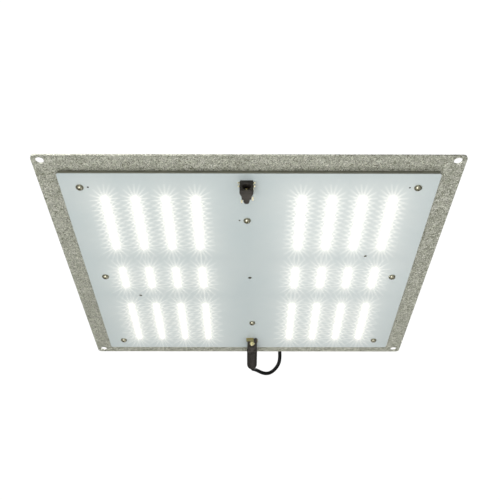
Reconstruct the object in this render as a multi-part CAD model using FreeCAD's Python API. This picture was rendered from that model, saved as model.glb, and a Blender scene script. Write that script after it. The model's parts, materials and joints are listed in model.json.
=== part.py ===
import FreeCAD, Part
import math
import os

# Hanging LED grow light, millimetres. X runs along the long edge, Y from the near edge (the output jack's)
# to the far edge (the input jack's), and Z is up. The origin is the centre of the four hanging holes, on the
# plate's underside. The LEDs point down, and the driver sits on the plate's top.

V = FreeCAD.Vector
UP = V(0, 0, 1)
FAR = V(0, 1, 0)
NEAR = V(0, -1, 0)

# Reflector plate
PLATE_WIDTH = 330.0
PLATE_DEPTH = 293.0
PLATE_THICK = 1.5
PLATE_CORNER = 3.5
HANG_SPACING_X = 317.0
HANG_SPACING_Y = 282.0
HANG_HOLE_R = 3.3

# LED board and the pad between board and plate
PAD_THICK = 2.0
PAD_INSET = 0.3
BOARD_WIDTH = 296.0
BOARD_DEPTH = 262.0
BOARD_THICK = 1.6
BOARD_CORNER = 2.0
CENTRE_HOLE = V(1.0, 4.2, 0)
CENTRE_HOLE_R = 1.7
TOOLING_HOLES = (V(-104.0, 33.0, 0), V(103.5, -28.7, 0))
TOOLING_HOLE_R = 1.4
PAD_HOLE_EASE = 0.5
PEG_HOLE_EASE = 0.05
PEG_HOLE_DEEP = 1.7

# LEDs: packages in columns, each column in three groups
LED_COLUMN_FIRST = 42.4
LED_COLUMN_PITCH = 24.25
LED_ROW_PITCH = 12.0
LED_PATTERN_Y = 3.4
LED_OUTER_GROUP_Y = 76.1
LED_OUTER_ROWS = 6
LED_MIDDLE_ROWS = 3
LED_LONG = 3.5
LED_SHORT = 2.8
LED_TALL = 0.7
LED_CUP_RIM = 0.3
LED_CUP_DEPTH = 0.4
LED_MARK = 0.6

# M3 screws, nuts and washers
SCREW_X = 132.5
SCREW_ROWS = (-116.0, 2.1, 116.0)
DRIVER_SCREWS = (V(-1.5, -76.7, 0), V(3.6, 81.9, 0))
M3_R = 1.45
M3_CLEARANCE_R = 1.7
M3_HEAD_R = 3.1
M3_HEAD_TALL = 2.5
M3_HEAD_RIM = 0.8
M3_RECESS_LONG = 3.0
M3_RECESS_WIDE = 0.7
M3_RECESS_DEEP = 1.1
M3_NUT_FLATS = 5.5
M3_NUT_TALL = 2.4
M3_WASHER_R = 3.5
M3_WASHER_THICK = 0.5
M3_WASHER_GAP = 0.15
BOARD_SCREW_LONG = 10.0
DRIVER_SCREW_LONG = 12.0
SCREW_TIP_SHARE = 0.2
SCREW_TWIST = 25.0
THREAD_GAP = 0.03

# Barrel jack (5.5 mm plug, 2 mm centre pin), surface-mounted
JACK_OUTPUT = V(-1.9, -123.9, 0)
JACK_INPUT = V(3.6, 123.5, 0)
JACK_WIDTH = 10.0
JACK_TALL = 11.0
JACK_FLANGE = 3.5
JACK_CHAMFER = 0.5
JACK_BODY_HALF = 4.9
JACK_BODY_END = 10.4
JACK_TAIL_END = 11.6
JACK_TAIL_TALL = 4.2
JACK_AXIS = 6.5
JACK_BORE_R = 3.15
JACK_BORE_DEEP = 9.5
JACK_MOUTH_FLARE = 0.5
JACK_MOUTH_DEEP = 0.6
JACK_SPRING_HALF = 1.2
JACK_SPRING_SLOT = (4.1, 9.4)
JACK_SLOT_EASE = 0.3
JACK_SLOT_REACH = 2.0
JACK_SLOT_ROOF = 1.0
JACK_SPRING_LEAF = ((8.9, -1.3), (7.4, -1.9), (6.4, -3.1), (5.3, -2.6))
JACK_PIN_R = 1.0
JACK_PIN_START = 3.0
JACK_RIVET = ((0.0, 0.0), (2.5, 0.0), (2.5, 0.3), (2.0, 0.7), (0.9, 0.9), (0.6, 0.4), (0.0, 0.4))
JACK_PEG_R = 0.8
JACK_PEG_LONG = 1.2
JACK_PEG_AT = (2.6, 8.0)
JACK_TAB_THICK = 0.3
JACK_TAB_FOOT = 0.9
JACK_TAB_RISE = 1.2
JACK_STEM_HALF = 1.6
JACK_STEM_OVER = 1.9
JACK_BAR_ABOVE = 3.2
INPUT_BAR_REACH = 6.2
INPUT_LUG_GAP = 1.0
OUTPUT_FOOT_LONG = 3.6

# Hood over the back of the output jack: half widths along it, and the open space over its tongue
HOOD_OUTLINE = ((4.9, 0.8), (5.4, 1.6), (5.4, 3.4), (4.9, 5.4), (3.9, 7.2), (3.8, 10.4), (2.6, 11.0),
                (2.2, 13.6), (1.4, 15.6))
HOOD_POCKET_HALF = 6.0
HOOD_FLOOR = 1.6
HOOD_POCKET_END = 20.0

# Tabs beside each jack: sides, distance along it, inner half width, width, reach, height and lower lip
BOTH = (-1, 1)
OUTPUT_TABS = (
    (BOTH, 2.6, 5.45, 1.4, 7.0, 1.5, 0.0),
    (BOTH, 6.4, 5.1, 1.8, 6.8, 1.5, 0.0),
    ((1,), 9.8, 4.15, 4.2, 5.6, 10.4, 1.4),
    ((-1,), 12.9, 3.0, 3.6, 4.6, 10.4, 1.4),
)
INPUT_TABS = ((BOTH, 5.2, 4.9, 1.8, 6.0, 1.5, 0.0), (BOTH, 8.2, 4.9, 1.8, 6.0, 1.5, 0.0))

# Plug in the input jack
PLUG_SEAT_GAP = 0.3
PLUG_BARREL_LONG = 9.5
PLUG_BARREL_R = 2.75
PLUG_SLEEVE_R = 2.3
PLUG_CONTACT_R = 1.7
PLUG_CONTACT_BORE_R = 1.3
PLUG_CONTACT_SET_BACK = 0.6
BOOT_R = 5.2
BOOT_LONG = 37.4
BOOT_STRAIGHT = 32.6
BOOT_END_R = 3.5
BOOT_END_BULGE = 48.0
BOOT_START_EASE = 0.4
BOOT_GROOVE_AT = (2.6, 29.6)
BOOT_GROOVE_R = 0.35
BOOT_GROOVE_OUT = 0.1

# Driver: extruded housing with two end caps
DRIVER_X = 1.4
DRIVER_Y = 1.0
DRIVER_WIDTH = 60.0
DRIVER_LONG = 136.0
DRIVER_TALL = 34.0
DRIVER_CORNER = 3.0
DRIVER_INNER_CORNER = 0.6
DRIVER_WALL = 2.4
GROOVE_WIDE = 1.8
GROOVE_DEEP = 1.1
GROOVE_PITCH = 5.0
TOP_GROOVES = 10
SIDE_GROOVES = 4
BOSS_R = 3.2
BOSS_INSET = 4.6
BOSS_BORE_R = 1.25
GASKET_THICK = 1.0
GASKET_INSET = 0.6
GASKET_BOSS_RIM = 0.4
CAP_THICK = 2.5
CAP_SCREW_CLEARANCE_R = 1.6
TAB_WIDE = 26.0
TAB_LONG = 14.0
TAB_THICK = 2.5
TAB_SLOT_LONG = 8.0
TAB_CORNER = 3.0
CAP_SCREW_R = 1.22
CAP_SCREW_LONG = 12.0
CAP_SCREW_HEAD_R = 2.75
CAP_SCREW_HEAD_TALL = 1.9
CAP_SCREW_HEAD_RIM = 0.7
CAP_SCREW_RECESS = (3.0, 0.7, 1.0)

# Mains inlet, three-pin
INLET_Z = 20.5
INLET_FLANGE_WIDE = 30.5
INLET_FLANGE_TALL = 23.5
INLET_FLANGE_THICK = 2.5
INLET_FLANGE_CHAMFER = 0.8
INLET_BODY_WIDE = 27.0
INLET_BODY_TALL = 20.0
INLET_BODY_DEEP = 22.0
INLET_CAVITY_WIDE = 24.4
INLET_CAVITY_TALL = 16.6
INLET_CAVITY_DEEP = 18.0
INLET_CAVITY_CUT = 4.0
INLET_PIN_WIDE = 2.0
INLET_PIN_TALL = 4.0
INLET_PIN_TIP = 4.6
INLET_PIN_TAIL = 7.0
INLET_PIN_CHAMFER = 0.5
INLET_PINS = ((-7.0, -2.0), (7.0, -2.0), (0.0, 2.0))

# Cable gland and the lead
GLAND_X = 19.0
GLAND_Z = 18.5
GLAND_HEX = 15.0
GLAND_HEX_THICK = 5.0
GLAND_NUT_LONG = 12.0
GLAND_THREAD_R = 6.2
GLAND_THREAD_PAST = 2.0
GLAND_SPIGOT_R = 5.6
GLAND_SPIGOT_LONG = 7.0
GLAND_POCKET_R = 5.7
GLAND_POCKET_DEEP = 7.4
GLAND_BORE_R = 3.6
GLAND_MOUTH_R = 2.9
GLAND_LOCKNUT_HEX = 17.0
GLAND_LOCKNUT_THICK = 4.0
GLAND_LOCKNUT_TURN = 30.0
GLAND_DOME = ((0.0, 6.6), (7.5, 6.6), (6.9, 9.0), (5.3, 11.0), (4.1, 12.0), (0.0, 12.0))
GLAND_SEAL = ((2.0, -3.0), (3.55, -3.0), (3.55, 6.7), (2.8, 7.3), (2.8, 11.4), (2.0, 11.4))
LEAD_R = 2.0
LEAD_TAIL_END = 60.0

# Driver circuit board
PCB_BOTTOM = 10.5
PCB_THICK = 1.6
PCB_START = -44.0
PCB_END = 56.0
RAIL_REACH = 2.0
RAIL_THICK = 1.0
RAIL_ROOT = 0.5
FIT_GAP = 0.2

# Parts on the circuit board, placed from the driver's own centre: X, Y, and for the cans radius and height
CANS = ((11.5, -13.0, 8.0, 20.0), (11.5, 4.5, 8.0, 20.0), (-16.0, 46.0, 5.0, 19.0), (-4.5, 46.0, 5.0, 19.0),
        (7.0, 46.0, 5.0, 19.0))
CAN_EASE = 0.5
CAN_GROOVE_TALL = 2.5
FILM_FROM = (5.5, -30.7)
FILM_TO = (23.5, -22.2)
FILM_TALL = 14.0
FILM_EDGE = 0.8
FUSE_AT = (-18.5, -36.0)
FUSE_OUTLINE = ((0.0, 0.0), (4.0, 0.0), (4.0, 7.4), (3.6, 8.0), (0.0, 8.0))
SPREADER_FROM = (-25.2, -26.0)
SPREADER_TO = (-22.2, 6.0)
SPREADER_TALL = 14.5
DEVICE_ROWS = (-20.0, -9.0, 2.0)
DEVICE_SIZE = V(4.4, 10.0, 9.2)
DEVICE_LEGS = (2.5, 5.0, 7.5)
DEVICE_LEG_LONG = 3.0
DEVICE_LEG_FROM = 2.0
DEVICE_LEG_THICK = 0.6
DEVICE_LEG_HALF = 0.4

# Transformer: an outer frame round a window with a round middle post, and the winding on the post
CORE_AT = (-3.0, 25.5)
CORE_LIFT = 1.5
CORE_HALF_X = 13.5
CORE_HALF_Y = 10.0
CORE_TALL = 18.5
CORE_LIMB = 3.0
CORE_POST_R = 5.0
CORE_SEAM_AT = 9.1
CORE_SEAM_TALL = 0.3
CORE_SEAM_DEEP = 0.3
WINDING_R = 9.8
WINDING_BORE_R = 5.2
WINDING_GAP = 0.5
BOBBIN_HALF_X = 12.0
BOBBIN_HALF_Y = 13.0

# Choke: a toroid on edge, with two windings of separate turns
CHOKE_AT = (-6.5, -19.0)
CHOKE_OUTER_R = 8.2
CHOKE_INNER_R = 4.4
CHOKE_WIDE = 7.0
CHOKE_GAP = 0.25
CHOKE_WIRE = 0.9
CHOKE_TURNS = 7
CHOKE_TURN_STEP = 17.0

# Wires inside the driver: radius, straight run at the start, reach to the board, drop and sideways step
INLET_WIRE = (0.8, 3.5, 5.5, 3.0, 1.0)
OUTPUT_WIRE = (0.7, 3.5, 5.5, 2.6, 1.2)
OUTPUT_WIRE_APART = 0.85

# How far a cutter runs past what it cuts, and the distance under which two places are the same
CUT = 1.0
TOUCH = 0.01

# Heights worked out from the thicknesses
BOARD_TOP = -PAD_THICK
BOARD_FACE = BOARD_TOP - BOARD_THICK
DRIVER_BASE = PLATE_THICK
DRIVER_MID = DRIVER_BASE + DRIVER_TALL / 2
HOUSING_START = DRIVER_Y - DRIVER_LONG / 2
HOUSING_END = DRIVER_Y + DRIVER_LONG / 2
CAP_NEAR_FACE = HOUSING_START - GASKET_THICK - CAP_THICK
CAP_FAR_FACE = HOUSING_END + GASKET_THICK + CAP_THICK
GLAND_MOUTH = CAP_FAR_FACE + GLAND_HEX_THICK + GLAND_NUT_LONG
JACK_AXIS_Z = BOARD_FACE - JACK_AXIS
BOOT_START = JACK_INPUT.y + PLUG_SEAT_GAP
BOOT_END = BOOT_START + BOOT_LONG
PCB_TOP = PCB_BOTTOM + PCB_THICK

# The lead's route, from the gland's mouth over the plate's far edge and round to the plug's boot
LEAD_ROUTE = (
    V(GLAND_X, GLAND_MOUTH, GLAND_Z),
    V(GLAND_X, 100.5, GLAND_Z),
    V(22.2, 114.5, 18.2),
    V(28.2, 129.5, 17.5),
    V(33.2, 147.3, 17.0),
    V(34.6, 162.2, 16.0),
    V(36.0, 175.5, 11.7),
    V(34.8, 182.6, 3.7),
    V(26.9, 186.2, -4.6),
    V(18.1, 184.2, -7.9),
    V(7.4, 177.2, -5.7),
    V(JACK_INPUT.x, 168.4, JACK_AXIS_Z),
    V(JACK_INPUT.x, BOOT_END, JACK_AXIS_Z),
)


def block(low, high):
    """A box from its lowest corner to its highest."""
    size = high - low
    return Part.makeBox(size.x, size.y, size.z, low)


def plate(width, depth, bottom, thick, corner):
    """A flat sheet centred on the Z axis, with round corners."""
    low = V(-width / 2, -depth / 2, bottom)
    sheet = block(low, V(width / 2, depth / 2, bottom + thick))
    upright = [e for e in sheet.Edges if abs(e.tangentAt(e.FirstParameter).z) > 0.9]
    return sheet.makeFillet(corner, upright)


def hole(centre, radius, bottom, top):
    """A round cutter along Z."""
    return Part.makeCylinder(radius, top - bottom, V(centre.x, centre.y, bottom))


def ring(outer, inner, long, base, axis):
    """A plain tube."""
    return Part.makeCylinder(outer, long, base, axis).cut(Part.makeCylinder(inner, long, base, axis))


def hexagon(flats, long, base, axis):
    """A hexagonal prism, sized across its flats, with its corners eased at both ends."""
    corner_r = flats / math.sqrt(3)
    corners = [V(corner_r * math.cos(math.radians(60 * i)), corner_r * math.sin(math.radians(60 * i)), 0)
               for i in range(7)]
    prism = Part.Face(Part.makePolygon(corners)).extrude(V(0, 0, long))
    ease = (corner_r - flats / 2) * 0.6
    middle = Part.makeCylinder(corner_r, long - 2 * ease, V(0, 0, ease))
    lower = Part.makeCone(flats / 2, corner_r, ease)
    upper = Part.makeCone(corner_r, flats / 2, ease, V(0, 0, long - ease))
    prism = prism.common(lower.fuse([middle, upper]))
    return placed(prism, base, axis)


def placed(shape, base, axis, up=UP):
    """A copy of a shape made at the origin along Z, moved to base and turned to run along axis."""
    copy = shape.copy()
    copy.Placement = FreeCAD.Placement(base, FreeCAD.Rotation(up, axis))
    return copy


def turned(outline, base, axis):
    """A solid of revolution: outline is (radius, height) pairs, closed, about Z and then placed."""
    points = [V(r, 0, h) for r, h in outline]
    face = Part.Face(Part.makePolygon(points + [points[0]]))
    return placed(face.revolve(V(0, 0, 0), UP, 360), base, axis)


def prism_x(profile, start, end):
    """A solid from a closed (y, z) profile, swept along X."""
    points = [V(start, y, z) for y, z in profile]
    return Part.Face(Part.makePolygon(points + [points[0]])).extrude(V(end - start, 0, 0))


def one(shapes):
    """One solid from several that overlap or share faces."""
    solid = shapes[0].fuse(shapes[1:]) if len(shapes) > 1 else shapes[0]
    return solid.removeSplitter()


def save(node, shapes):
    """Writes one node, a solid or a group of separate solids."""
    group = list(shapes) if isinstance(shapes, (list, tuple)) else [shapes]
    solids = [solid for shape in group for solid in shape.Solids]
    whole = solids[0] if len(solids) == 1 else Part.makeCompound(solids)
    if not whole.isValid():
        print("invalid:", node)
    whole.exportStep("parts/" + node + ".step")
    print(f"{node}: {len(solids)} solids, {whole.Volume:.1f} mm3")


def rounded_path(points, share=0.45):
    """Straight runs joined by tangent arcs, each as large as its two runs allow, and the arcs' radii."""
    edges = []
    radii = []
    here = points[0]
    for before, corner, after in zip(points, points[1:], points[2:]):
        back = before - corner
        ahead = after - corner
        reach = share * min(back.Length, ahead.Length)
        back = V(back).normalize()
        ahead = V(ahead).normalize()
        turn = math.pi - back.getAngle(ahead)
        radius = reach / math.tan(turn / 2)
        inward = (back + ahead).normalize()
        middle = corner + inward * (radius / math.cos(turn / 2) - radius)
        start = corner + back * reach
        end = corner + ahead * reach
        edges.append(Part.LineSegment(here, start).toShape())
        edges.append(Part.Arc(start, middle, end).toShape())
        radii.append(radius)
        here = end
    edges.append(Part.LineSegment(here, points[-1]).toShape())
    return Part.Wire(edges), radii


def tube(points, radius):
    """A round solid along a rounded path."""
    path, radii = rounded_path(points)
    section = Part.Wire(Part.makeCircle(radius, points[0], points[1] - points[0]))
    solid = path.makePipeShell([section], True, True)
    solid = Part.Solid(solid) if solid.ShapeType == "Shell" else solid
    return solid, path.Length, radii


# ---------------------------------------------------------------- plate, pad and board


def border_screw_places():
    """The six screws round the board's border."""
    return [V(side * SCREW_X, y, 0) for side in (-1, 1) for y in SCREW_ROWS]


def screw_holes(places, radius, bottom, top):
    """A round cutter at each place."""
    return [hole(p, radius, bottom, top) for p in places]


def make_reflector_plate():
    sheet = plate(PLATE_WIDTH, PLATE_DEPTH, 0, PLATE_THICK, PLATE_CORNER)
    corners = [V(sx * HANG_SPACING_X / 2, sy * HANG_SPACING_Y / 2, 0) for sx in (-1, 1) for sy in (-1, 1)]
    cutters = screw_holes(corners, HANG_HOLE_R, -CUT, PLATE_THICK + CUT)
    screws = border_screw_places() + list(DRIVER_SCREWS)
    cutters += screw_holes(screws, M3_CLEARANCE_R, -CUT, PLATE_THICK + CUT)
    return sheet.cut(cutters)


def make_thermal_pad():
    width = BOARD_WIDTH - 2 * PAD_INSET
    depth = BOARD_DEPTH - 2 * PAD_INSET
    sheet = plate(width, depth, BOARD_TOP, PAD_THICK, BOARD_CORNER)
    screws = border_screw_places() + list(DRIVER_SCREWS)
    return sheet.cut(screw_holes(screws, M3_CLEARANCE_R + PAD_HOLE_EASE, BOARD_TOP - CUT, CUT))


def jack_placement(front, faces_far):
    """Turns a jack made at the origin, mouth towards -Y, to its place on the board."""
    angle = 180 if faces_far else 0
    return FreeCAD.Placement(V(front.x, front.y, BOARD_FACE), FreeCAD.Rotation(UP, angle))


def jack_pegs(radius, long):
    """The two locating pegs, at the origin."""
    return [Part.makeCylinder(radius, long, V(0, y, 0)) for y in JACK_PEG_AT]


def make_led_board():
    sheet = plate(BOARD_WIDTH, BOARD_DEPTH, BOARD_FACE, BOARD_THICK, BOARD_CORNER)
    screws = border_screw_places() + list(DRIVER_SCREWS)
    cutters = screw_holes(screws, M3_CLEARANCE_R, BOARD_FACE - CUT, 0)
    cutters.append(hole(CENTRE_HOLE, CENTRE_HOLE_R, BOARD_FACE - CUT, 0))
    cutters += screw_holes(TOOLING_HOLES, TOOLING_HOLE_R, BOARD_FACE - CUT, 0)
    for front, faces_far in ((JACK_OUTPUT, False), (JACK_INPUT, True)):
        for peg in jack_pegs(JACK_PEG_R + PEG_HOLE_EASE, PEG_HOLE_DEEP):
            peg.Placement = jack_placement(front, faces_far).multiply(peg.Placement)
            cutters.append(peg)
    return sheet.cut(cutters)


# ---------------------------------------------------------------- LEDs


def led_rows():
    """Y of every LED in a column, from near to far."""
    def group(centre, count):
        return [centre + (i - (count - 1) / 2) * LED_ROW_PITCH for i in range(count)]

    near = group(LED_PATTERN_Y - LED_OUTER_GROUP_Y, LED_OUTER_ROWS)
    middle = group(LED_PATTERN_Y, LED_MIDDLE_ROWS)
    far = group(LED_PATTERN_Y + LED_OUTER_GROUP_Y, LED_OUTER_ROWS)
    return near + middle + far


def led_columns():
    """X of the eight columns, from left to right."""
    right = [LED_COLUMN_FIRST + i * LED_COLUMN_PITCH for i in range(4)]
    return [-x for x in reversed(right)] + right


def led_package():
    """One package at the origin, its cup open downwards and one corner cut as a polarity mark."""
    body = block(V(-LED_LONG / 2, -LED_SHORT / 2, -LED_TALL), V(LED_LONG / 2, LED_SHORT / 2, 0))
    mark = Part.makePolygon([
        V(LED_LONG / 2 - LED_MARK, -LED_SHORT / 2, -LED_TALL),
        V(LED_LONG / 2, -LED_SHORT / 2, -LED_TALL),
        V(LED_LONG / 2, -LED_SHORT / 2 + LED_MARK, -LED_TALL),
        V(LED_LONG / 2 - LED_MARK, -LED_SHORT / 2, -LED_TALL),
    ])
    mark = Part.Face(mark).extrude(V(0, 0, LED_TALL))
    return body.cut([mark, led_phosphor()])


def led_phosphor():
    """The yellow fill of one package's cup, at the origin."""
    half_x = LED_LONG / 2 - LED_CUP_RIM - LED_MARK / 2
    half_y = LED_SHORT / 2 - LED_CUP_RIM
    return block(V(-half_x, -half_y, -LED_TALL), V(half_x, half_y, -LED_TALL + LED_CUP_DEPTH))


def save_led_columns():
    package = led_package()
    phosphor = led_phosphor()
    for number, x in enumerate(led_columns(), 1):
        places = [V(x, y, BOARD_FACE) for y in led_rows()]
        save(f"led_packages_{number}", [package.translated(p) for p in places])
        save(f"led_phosphors_{number}", [phosphor.translated(p) for p in places])


# ---------------------------------------------------------------- fasteners


def domed_screw(shank_r, long, head_r, head_tall, rim, recess):
    """A screw at the origin: its shank runs up Z, its domed head hangs below with a cross recess."""
    recess_long, recess_wide, recess_deep = recess
    rise = head_tall - rim
    sphere_r = (head_r ** 2 + rise ** 2) / (2 * rise)
    disc = Part.makeCylinder(head_r, head_tall, V(0, 0, -head_tall))
    dome = Part.makeSphere(sphere_r, V(0, 0, sphere_r - head_tall))
    head = disc.common(dome)
    half_long = recess_long / 2
    half_wide = recess_wide / 2
    floor = recess_deep - head_tall
    slot_x = block(V(-half_long, -half_wide, -head_tall), V(half_long, half_wide, floor))
    slot_y = block(V(-half_wide, -half_long, -head_tall), V(half_wide, half_long, floor))
    head = head.cut([slot_x, slot_y])
    tip = shank_r * SCREW_TIP_SHARE
    shank = Part.makeCylinder(shank_r, long - tip)
    point = Part.makeCone(shank_r, shank_r - tip, tip, V(0, 0, long - tip))
    return one([head, shank, point])


def m3_screw(long):
    recess = (M3_RECESS_LONG, M3_RECESS_WIDE, M3_RECESS_DEEP)
    return domed_screw(M3_R, long, M3_HEAD_R, M3_HEAD_TALL, M3_HEAD_RIM, recess)


def m3_set(places, long, seat):
    """Screws from below, with a washer and a nut on the seat height above the plate."""
    screw = m3_screw(long)
    screws = []
    washers = []
    nuts = []
    for index, place in enumerate(places):
        turned_screw = screw.copy()
        turned_screw.rotate(V(0, 0, 0), UP, SCREW_TWIST * (index + 1))
        screws.append(turned_screw.translated(V(place.x, place.y, BOARD_FACE)))
        washer_base = V(place.x, place.y, seat)
        washers.append(ring(M3_WASHER_R, M3_R + M3_WASHER_GAP, M3_WASHER_THICK, washer_base, UP))
        nut_base = V(place.x, place.y, seat + M3_WASHER_THICK)
        nut = hexagon(M3_NUT_FLATS, M3_NUT_TALL, nut_base, UP)
        nut.rotate(nut_base, UP, SCREW_TWIST * index)
        bore = Part.makeCylinder(M3_R + THREAD_GAP, M3_NUT_TALL, nut_base, UP)
        nuts.append(nut.cut(bore))
    return screws, washers, nuts


def save_m3_sets():
    """The board's own screws, and the two that also hold the driver's foot tabs."""
    board_set = m3_set(border_screw_places(), BOARD_SCREW_LONG, PLATE_THICK)
    driver_set = m3_set(DRIVER_SCREWS, DRIVER_SCREW_LONG, PLATE_THICK + TAB_THICK)
    save("board_screws", board_set[0])
    save("driver_screws", driver_set[0])
    save("back_washers", board_set[1] + driver_set[1])
    save("back_nuts", board_set[2] + driver_set[2])


# ---------------------------------------------------------------- barrel jacks


def jack_bores():
    """What is cut from either housing: the mouth, the pin's hole and the side contact's slot."""
    axis_front = V(0, 0, -JACK_AXIS)
    bore = Part.makeCylinder(JACK_BORE_R, JACK_BORE_DEEP, axis_front, FAR)
    mouth = Part.makeCone(JACK_BORE_R + JACK_MOUTH_FLARE, JACK_BORE_R, JACK_MOUTH_DEEP, axis_front, FAR)
    pin_hole = Part.makeCylinder(JACK_PIN_R, JACK_BODY_END + CUT, axis_front, FAR)
    half = JACK_SPRING_HALF + JACK_SLOT_EASE
    slot_start, slot_end = JACK_SPRING_SLOT
    low = V(-half, slot_start, JACK_SLOT_REACH - JACK_AXIS)
    spring_slot = block(low, V(half, slot_end, -JACK_SLOT_ROOF))
    return [bore, mouth, pin_hole, spring_slot]


def jack_flange(bottom):
    """The square block round the mouth, its long edges chamfered."""
    half = JACK_WIDTH / 2
    flange = block(V(-half, 0, -bottom), V(half, JACK_FLANGE, 0))
    long_edges = [e for e in flange.Edges if abs(e.tangentAt(e.FirstParameter).y) > 0.9]
    return flange.makeChamfer(JACK_CHAMFER, long_edges)


def input_jack_housing():
    """Short housing: mouth block, half-round body, and one tail lug beside the rear tab."""
    body = JACK_BODY_HALF
    long = JACK_BODY_END - JACK_FLANGE
    base = block(V(-body, JACK_FLANGE, -JACK_AXIS), V(body, JACK_BODY_END, 0))
    crown = Part.makeCylinder(JACK_TALL - JACK_AXIS, long, V(0, JACK_FLANGE, -JACK_AXIS), FAR)
    lug_right = -JACK_STEM_HALF - INPUT_LUG_GAP
    lug = block(V(-body, JACK_BODY_END, -JACK_TAIL_TALL), V(lug_right, JACK_TAIL_END, 0))
    solid = one([jack_flange(JACK_TALL), base, crown, lug] + jack_pegs(JACK_PEG_R, JACK_PEG_LONG))
    return solid.cut(jack_bores())


def output_jack_housing():
    """Long housing: mouth block and a hood that narrows towards the back, open towards the board."""
    right = [V(x, y, -JACK_TALL) for x, y in HOOD_OUTLINE]
    left = [V(-p.x, p.y, p.z) for p in reversed(right)]
    outline = right + left
    hood = Part.Face(Part.makePolygon(outline + [outline[0]])).extrude(V(0, 0, JACK_TALL))
    lower = [e for e in hood.Edges if e.BoundBox.ZMax < TOUCH - JACK_TALL]
    hood = hood.makeChamfer(JACK_CHAMFER, lower)
    pocket_low = V(-HOOD_POCKET_HALF, JACK_BODY_END, HOOD_FLOOR - JACK_TALL)
    pocket = block(pocket_low, V(HOOD_POCKET_HALF, HOOD_POCKET_END, CUT))
    solid = one([jack_flange(JACK_TALL), hood] + jack_pegs(JACK_PEG_R, JACK_PEG_LONG))
    return solid.cut([pocket] + jack_bores())


def jack_centre_pin():
    """Centre pin with a round nose in the bore, and its rivet on the back."""
    deep = JACK_BODY_END + JACK_TAB_THICK - JACK_PIN_START
    shoulder = V(0, JACK_PIN_START + JACK_PIN_R, -JACK_AXIS)
    pin = Part.makeCylinder(JACK_PIN_R, deep - JACK_PIN_R, shoulder, FAR)
    nose = Part.makeSphere(JACK_PIN_R, shoulder)
    start = V(0, JACK_BODY_END + JACK_TAB_THICK, -JACK_AXIS)
    return one([pin, nose, turned(JACK_RIVET, start, FAR)])


def jack_contact_spring():
    """The side contact: a bent leaf in its slot, its bump just clear of the plug's barrel."""
    under = list(JACK_SPRING_LEAF)
    over = [(y, z - JACK_TAB_THICK) for y, z in reversed(under)]
    return prism_x(under + over, -JACK_SPRING_HALF, JACK_SPRING_HALF)


def rear_tab(bar_left, foot_long):
    """Brass tab under the rivet: a stem, a bar across its top that reaches to one side, and a foot."""
    thick = JACK_TAB_THICK
    start = JACK_BODY_END
    half = JACK_STEM_HALF
    stem = block(V(-half, start, -JACK_AXIS - JACK_STEM_OVER), V(half, start + thick, 0))
    bar = block(V(-half, start, JACK_BAR_ABOVE - JACK_AXIS), V(bar_left, start + thick, 0))
    foot = block(V(-half, start, -thick), V(bar_left, start + foot_long, 0))
    pin_hole = Part.makeCylinder(JACK_PIN_R, thick + 2 * CUT, V(0, start - CUT, -JACK_AXIS), FAR)
    return one([stem, bar, foot]).cut(pin_hole)


def side_tabs(rows):
    """Bent tabs soldered to the board beside a jack, some with a lip along their lower edge."""
    thick = JACK_TAB_THICK
    tabs = []
    for sides, y, inner, wide, reach, tall, lip in rows:
        outer = inner + max(lip, thick)
        shape = [(inner, 0), (reach, 0), (reach, -thick), (reach - JACK_TAB_FOOT, -thick),
                 (inner + thick, -JACK_TAB_RISE), (inner + thick, thick - tall), (outer, thick - tall),
                 (outer, -tall), (inner, -tall)]
        profile = [point for point, last in zip(shape, [shape[-1]] + shape) if point != last]
        for side in sides:
            points = [V(side * x, y - wide / 2, z) for x, z in profile]
            face = Part.Face(Part.makePolygon(points + [points[0]]))
            tabs.append(face.extrude(V(0, wide, 0)))
    return tabs


def save_jack(name, place, housing, tabs):
    pieces = {
        "housing": [housing],
        "centre_pin": [jack_centre_pin()],
        "contact_spring": [jack_contact_spring()],
        "solder_tabs": tabs,
    }
    for piece, shapes in pieces.items():
        for shape in shapes:
            shape.Placement = place.multiply(shape.Placement)
        save(f"{name}_{piece}", shapes)


# ---------------------------------------------------------------- plug and lead


def save_plug():
    base = V(JACK_INPUT.x, BOOT_START, JACK_AXIS_Z)
    save("plug_barrel", ring(PLUG_BARREL_R, PLUG_SLEEVE_R, PLUG_BARREL_LONG, base, NEAR))
    save("plug_insulator", ring(PLUG_SLEEVE_R, PLUG_CONTACT_R, PLUG_BARREL_LONG, base, NEAR))
    contact_long = PLUG_BARREL_LONG - PLUG_CONTACT_SET_BACK
    save("plug_inner_contact", ring(PLUG_CONTACT_R, PLUG_CONTACT_BORE_R, contact_long, base, NEAR))
    save("plug_boot", plug_boot(base, FAR))


def plug_boot(base, axis):
    """Moulded grip: a straight body with two fine grooves, its end drawn in to the lead."""
    drop = BOOT_R - BOOT_END_R
    rise = BOOT_LONG - BOOT_STRAIGHT
    bulge = math.sin(math.radians(BOOT_END_BULGE))
    middle = V(BOOT_END_R + drop * bulge, 0, BOOT_STRAIGHT + rise * bulge)
    corner = V(BOOT_R, 0, BOOT_STRAIGHT)
    end = V(BOOT_END_R, 0, BOOT_LONG)
    rim = V(BOOT_R - BOOT_START_EASE, 0, 0)
    side = V(BOOT_R, 0, BOOT_START_EASE)
    edges = [
        Part.LineSegment(V(0, 0, 0), rim).toShape(),
        Part.LineSegment(rim, side).toShape(),
        Part.LineSegment(side, corner).toShape(),
        Part.Arc(corner, middle, end).toShape(),
        Part.LineSegment(end, V(0, 0, BOOT_LONG)).toShape(),
        Part.LineSegment(V(0, 0, BOOT_LONG), V(0, 0, 0)).toShape(),
    ]
    body = Part.Face(Part.Wire(edges)).revolve(V(0, 0, 0), UP, 360)
    groove_ring = BOOT_R + BOOT_GROOVE_OUT
    grooves = [Part.makeTorus(groove_ring, BOOT_GROOVE_R, V(0, 0, h)) for h in BOOT_GROOVE_AT]
    return placed(body.cut(grooves), base, axis)


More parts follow.
